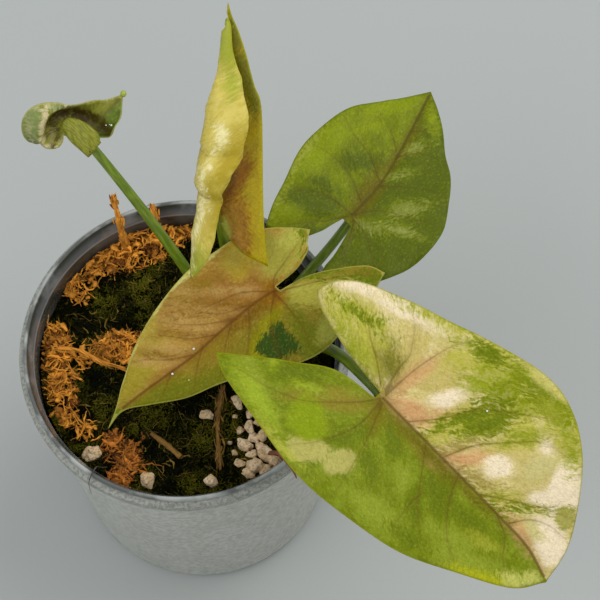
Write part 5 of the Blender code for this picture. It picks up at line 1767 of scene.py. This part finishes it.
        # Painted highlights: the line along the lip's outer edge turns in blotches from dark grey to pale grey.
        edge = finish.mix(finish.spread(blotch, 0.42, 0.62), paint(84, 87, 84), paint(162, 165, 162))
        colour = finish.mix(finish.part(zone, 2), colour, edge)
        smoothness = finish.math("MAXIMUM", finish.part(zone, 0), finish.part(zone, 1))
        rough = finish.spread(smoothness, 0.0, 1.0, 0.42, 0.14)
        finish.bump(finish.math("ADD", speck, flecks), 0.14, 0.0002)
        return finish.surface(colour, rough, specular_ior_level=0.5)


class PLANT_OT_stage(bpy.types.Operator):
    """Lay the paper, hang the lamps and set the camera"""

    bl_idname = "plant.stage"
    bl_label = "Stage"

    def execute(self, context):
        look = context.scene.plant_stage
        scene = context.scene
        half = PAPER_HALF
        mesh = bpy.data.meshes.new("paper")
        mesh.from_pydata([(-half, -half, 0), (half, -half, 0), (half, half, 0), (-half, half, 0)], [], [(0, 1, 2, 3)])
        paper = Finish("paper")
        cloudy = paper.noise(paper.object_place(), 4.0, 2.0)
        tooth = paper.noise(paper.object_place(), 1400.0, 3.0)
        shade = paper.mix(0.05, tuple(look.paper), (0.3, 0.32, 0.33))
        colour = paper.mix(paper.spread(cloudy, 0.3, 0.7), shade, tuple(look.paper))
        paper.bump(tooth, 0.06, 0.0003)
        mesh.materials.append(paper.surface(colour, 0.9, specular_ior_level=0.15))
        floor = bpy.data.objects.new("paper", mesh)
        scene.collection.objects.link(floor)
        world = bpy.data.worlds.new("studio")
        world.use_nodes = True
        world.node_tree.nodes["Background"].inputs["Color"].default_value = (0.97, 0.99, 1.0, 1.0)
        world.node_tree.nodes["Background"].inputs["Strength"].default_value = look.sky
        scene.world = world
        self.lamp("window", (0.8, 0.3, 1.3), 1.3, look.lamp, (1.0, 0.99, 0.97))
        self.lamp("fill", (-0.8, -0.4, 1.2), 1.1, look.lamp * 0.5, (0.98, 0.99, 1.0))
        camera = bpy.data.cameras.new("camera")
        camera.lens = look.lens
        camera.sensor_width = SENSOR_WIDTH
        camera.clip_start = 0.01
        holder = bpy.data.objects.new("camera", camera)
        right = Vector(CAMERA_RIGHT)
        up = Vector(CAMERA_UP)
        back = right.cross(up)
        turn = Matrix((right, up, back)).transposed().to_4x4()
        holder.matrix_world = Matrix.Translation(CAMERA_PLACE) @ turn
        scene.collection.objects.link(holder)
        scene.camera = holder
        scene.view_settings.view_transform = "Standard"
        return {"FINISHED"}

    def lamp(self, name, place, size, power, colour):
        light = bpy.data.lights.new(name, "AREA")
        light.shape = "DISK"
        light.size = size
        light.energy = power
        light.color = colour
        holder = bpy.data.objects.new(name, light)
        holder.location = place
        aim = Vector(LAMP_AIM) - Vector(place)
        holder.rotation_euler = aim.to_track_quat("-Z", "Y").to_euler()
        bpy.context.scene.collection.objects.link(holder)


class PLANT_PT_sidebar(bpy.types.Panel):
    bl_label = "Potted arrowhead plant"
    bl_idname = "PLANT_PT_sidebar"
    bl_space_type = "VIEW_3D"
    bl_region_type = "UI"
    bl_category = "Arrowhead"

    def draw(self, context):
        layout = self.layout
        for step in STEPS:
            layout.operator(step.bl_idname)
        for group in LOOKS:
            settings = getattr(context.scene, group)
            box = layout.box()
            for key in settings.bl_rna.properties.keys():
                if key not in ("name", "rna_type"):
                    box.prop(settings, key)


LOOKS = {
    "plant_blades": BladeLook,
    "plant_pot": PotLook,
    "plant_ground": GroundLook,
    "plant_stage": StageLook,
}
STEPS = (
    PLANT_OT_pot, PLANT_OT_moss, PLANT_OT_fibre, PLANT_OT_grains, PLANT_OT_litter, PLANT_OT_petioles,
    PLANT_OT_blades, PLANT_OT_drops, PLANT_OT_stage,
)


def register():
    for group in (*LOOKS.values(), *STEPS, PLANT_PT_sidebar):
        bpy.utils.register_class(group)
    for key, group in LOOKS.items():
        setattr(bpy.types.Scene, key, PointerProperty(type=group))


def unregister():
    for key in LOOKS:
        delattr(bpy.types.Scene, key)
    for group in reversed((*LOOKS.values(), *STEPS, PLANT_PT_sidebar)):
        bpy.utils.unregister_class(group)


def main():
    register()
    for step in STEPS:
        family, action = step.bl_idname.split(".")
        getattr(getattr(bpy.ops, family), action)()


if __name__ == "__main__":
    main()
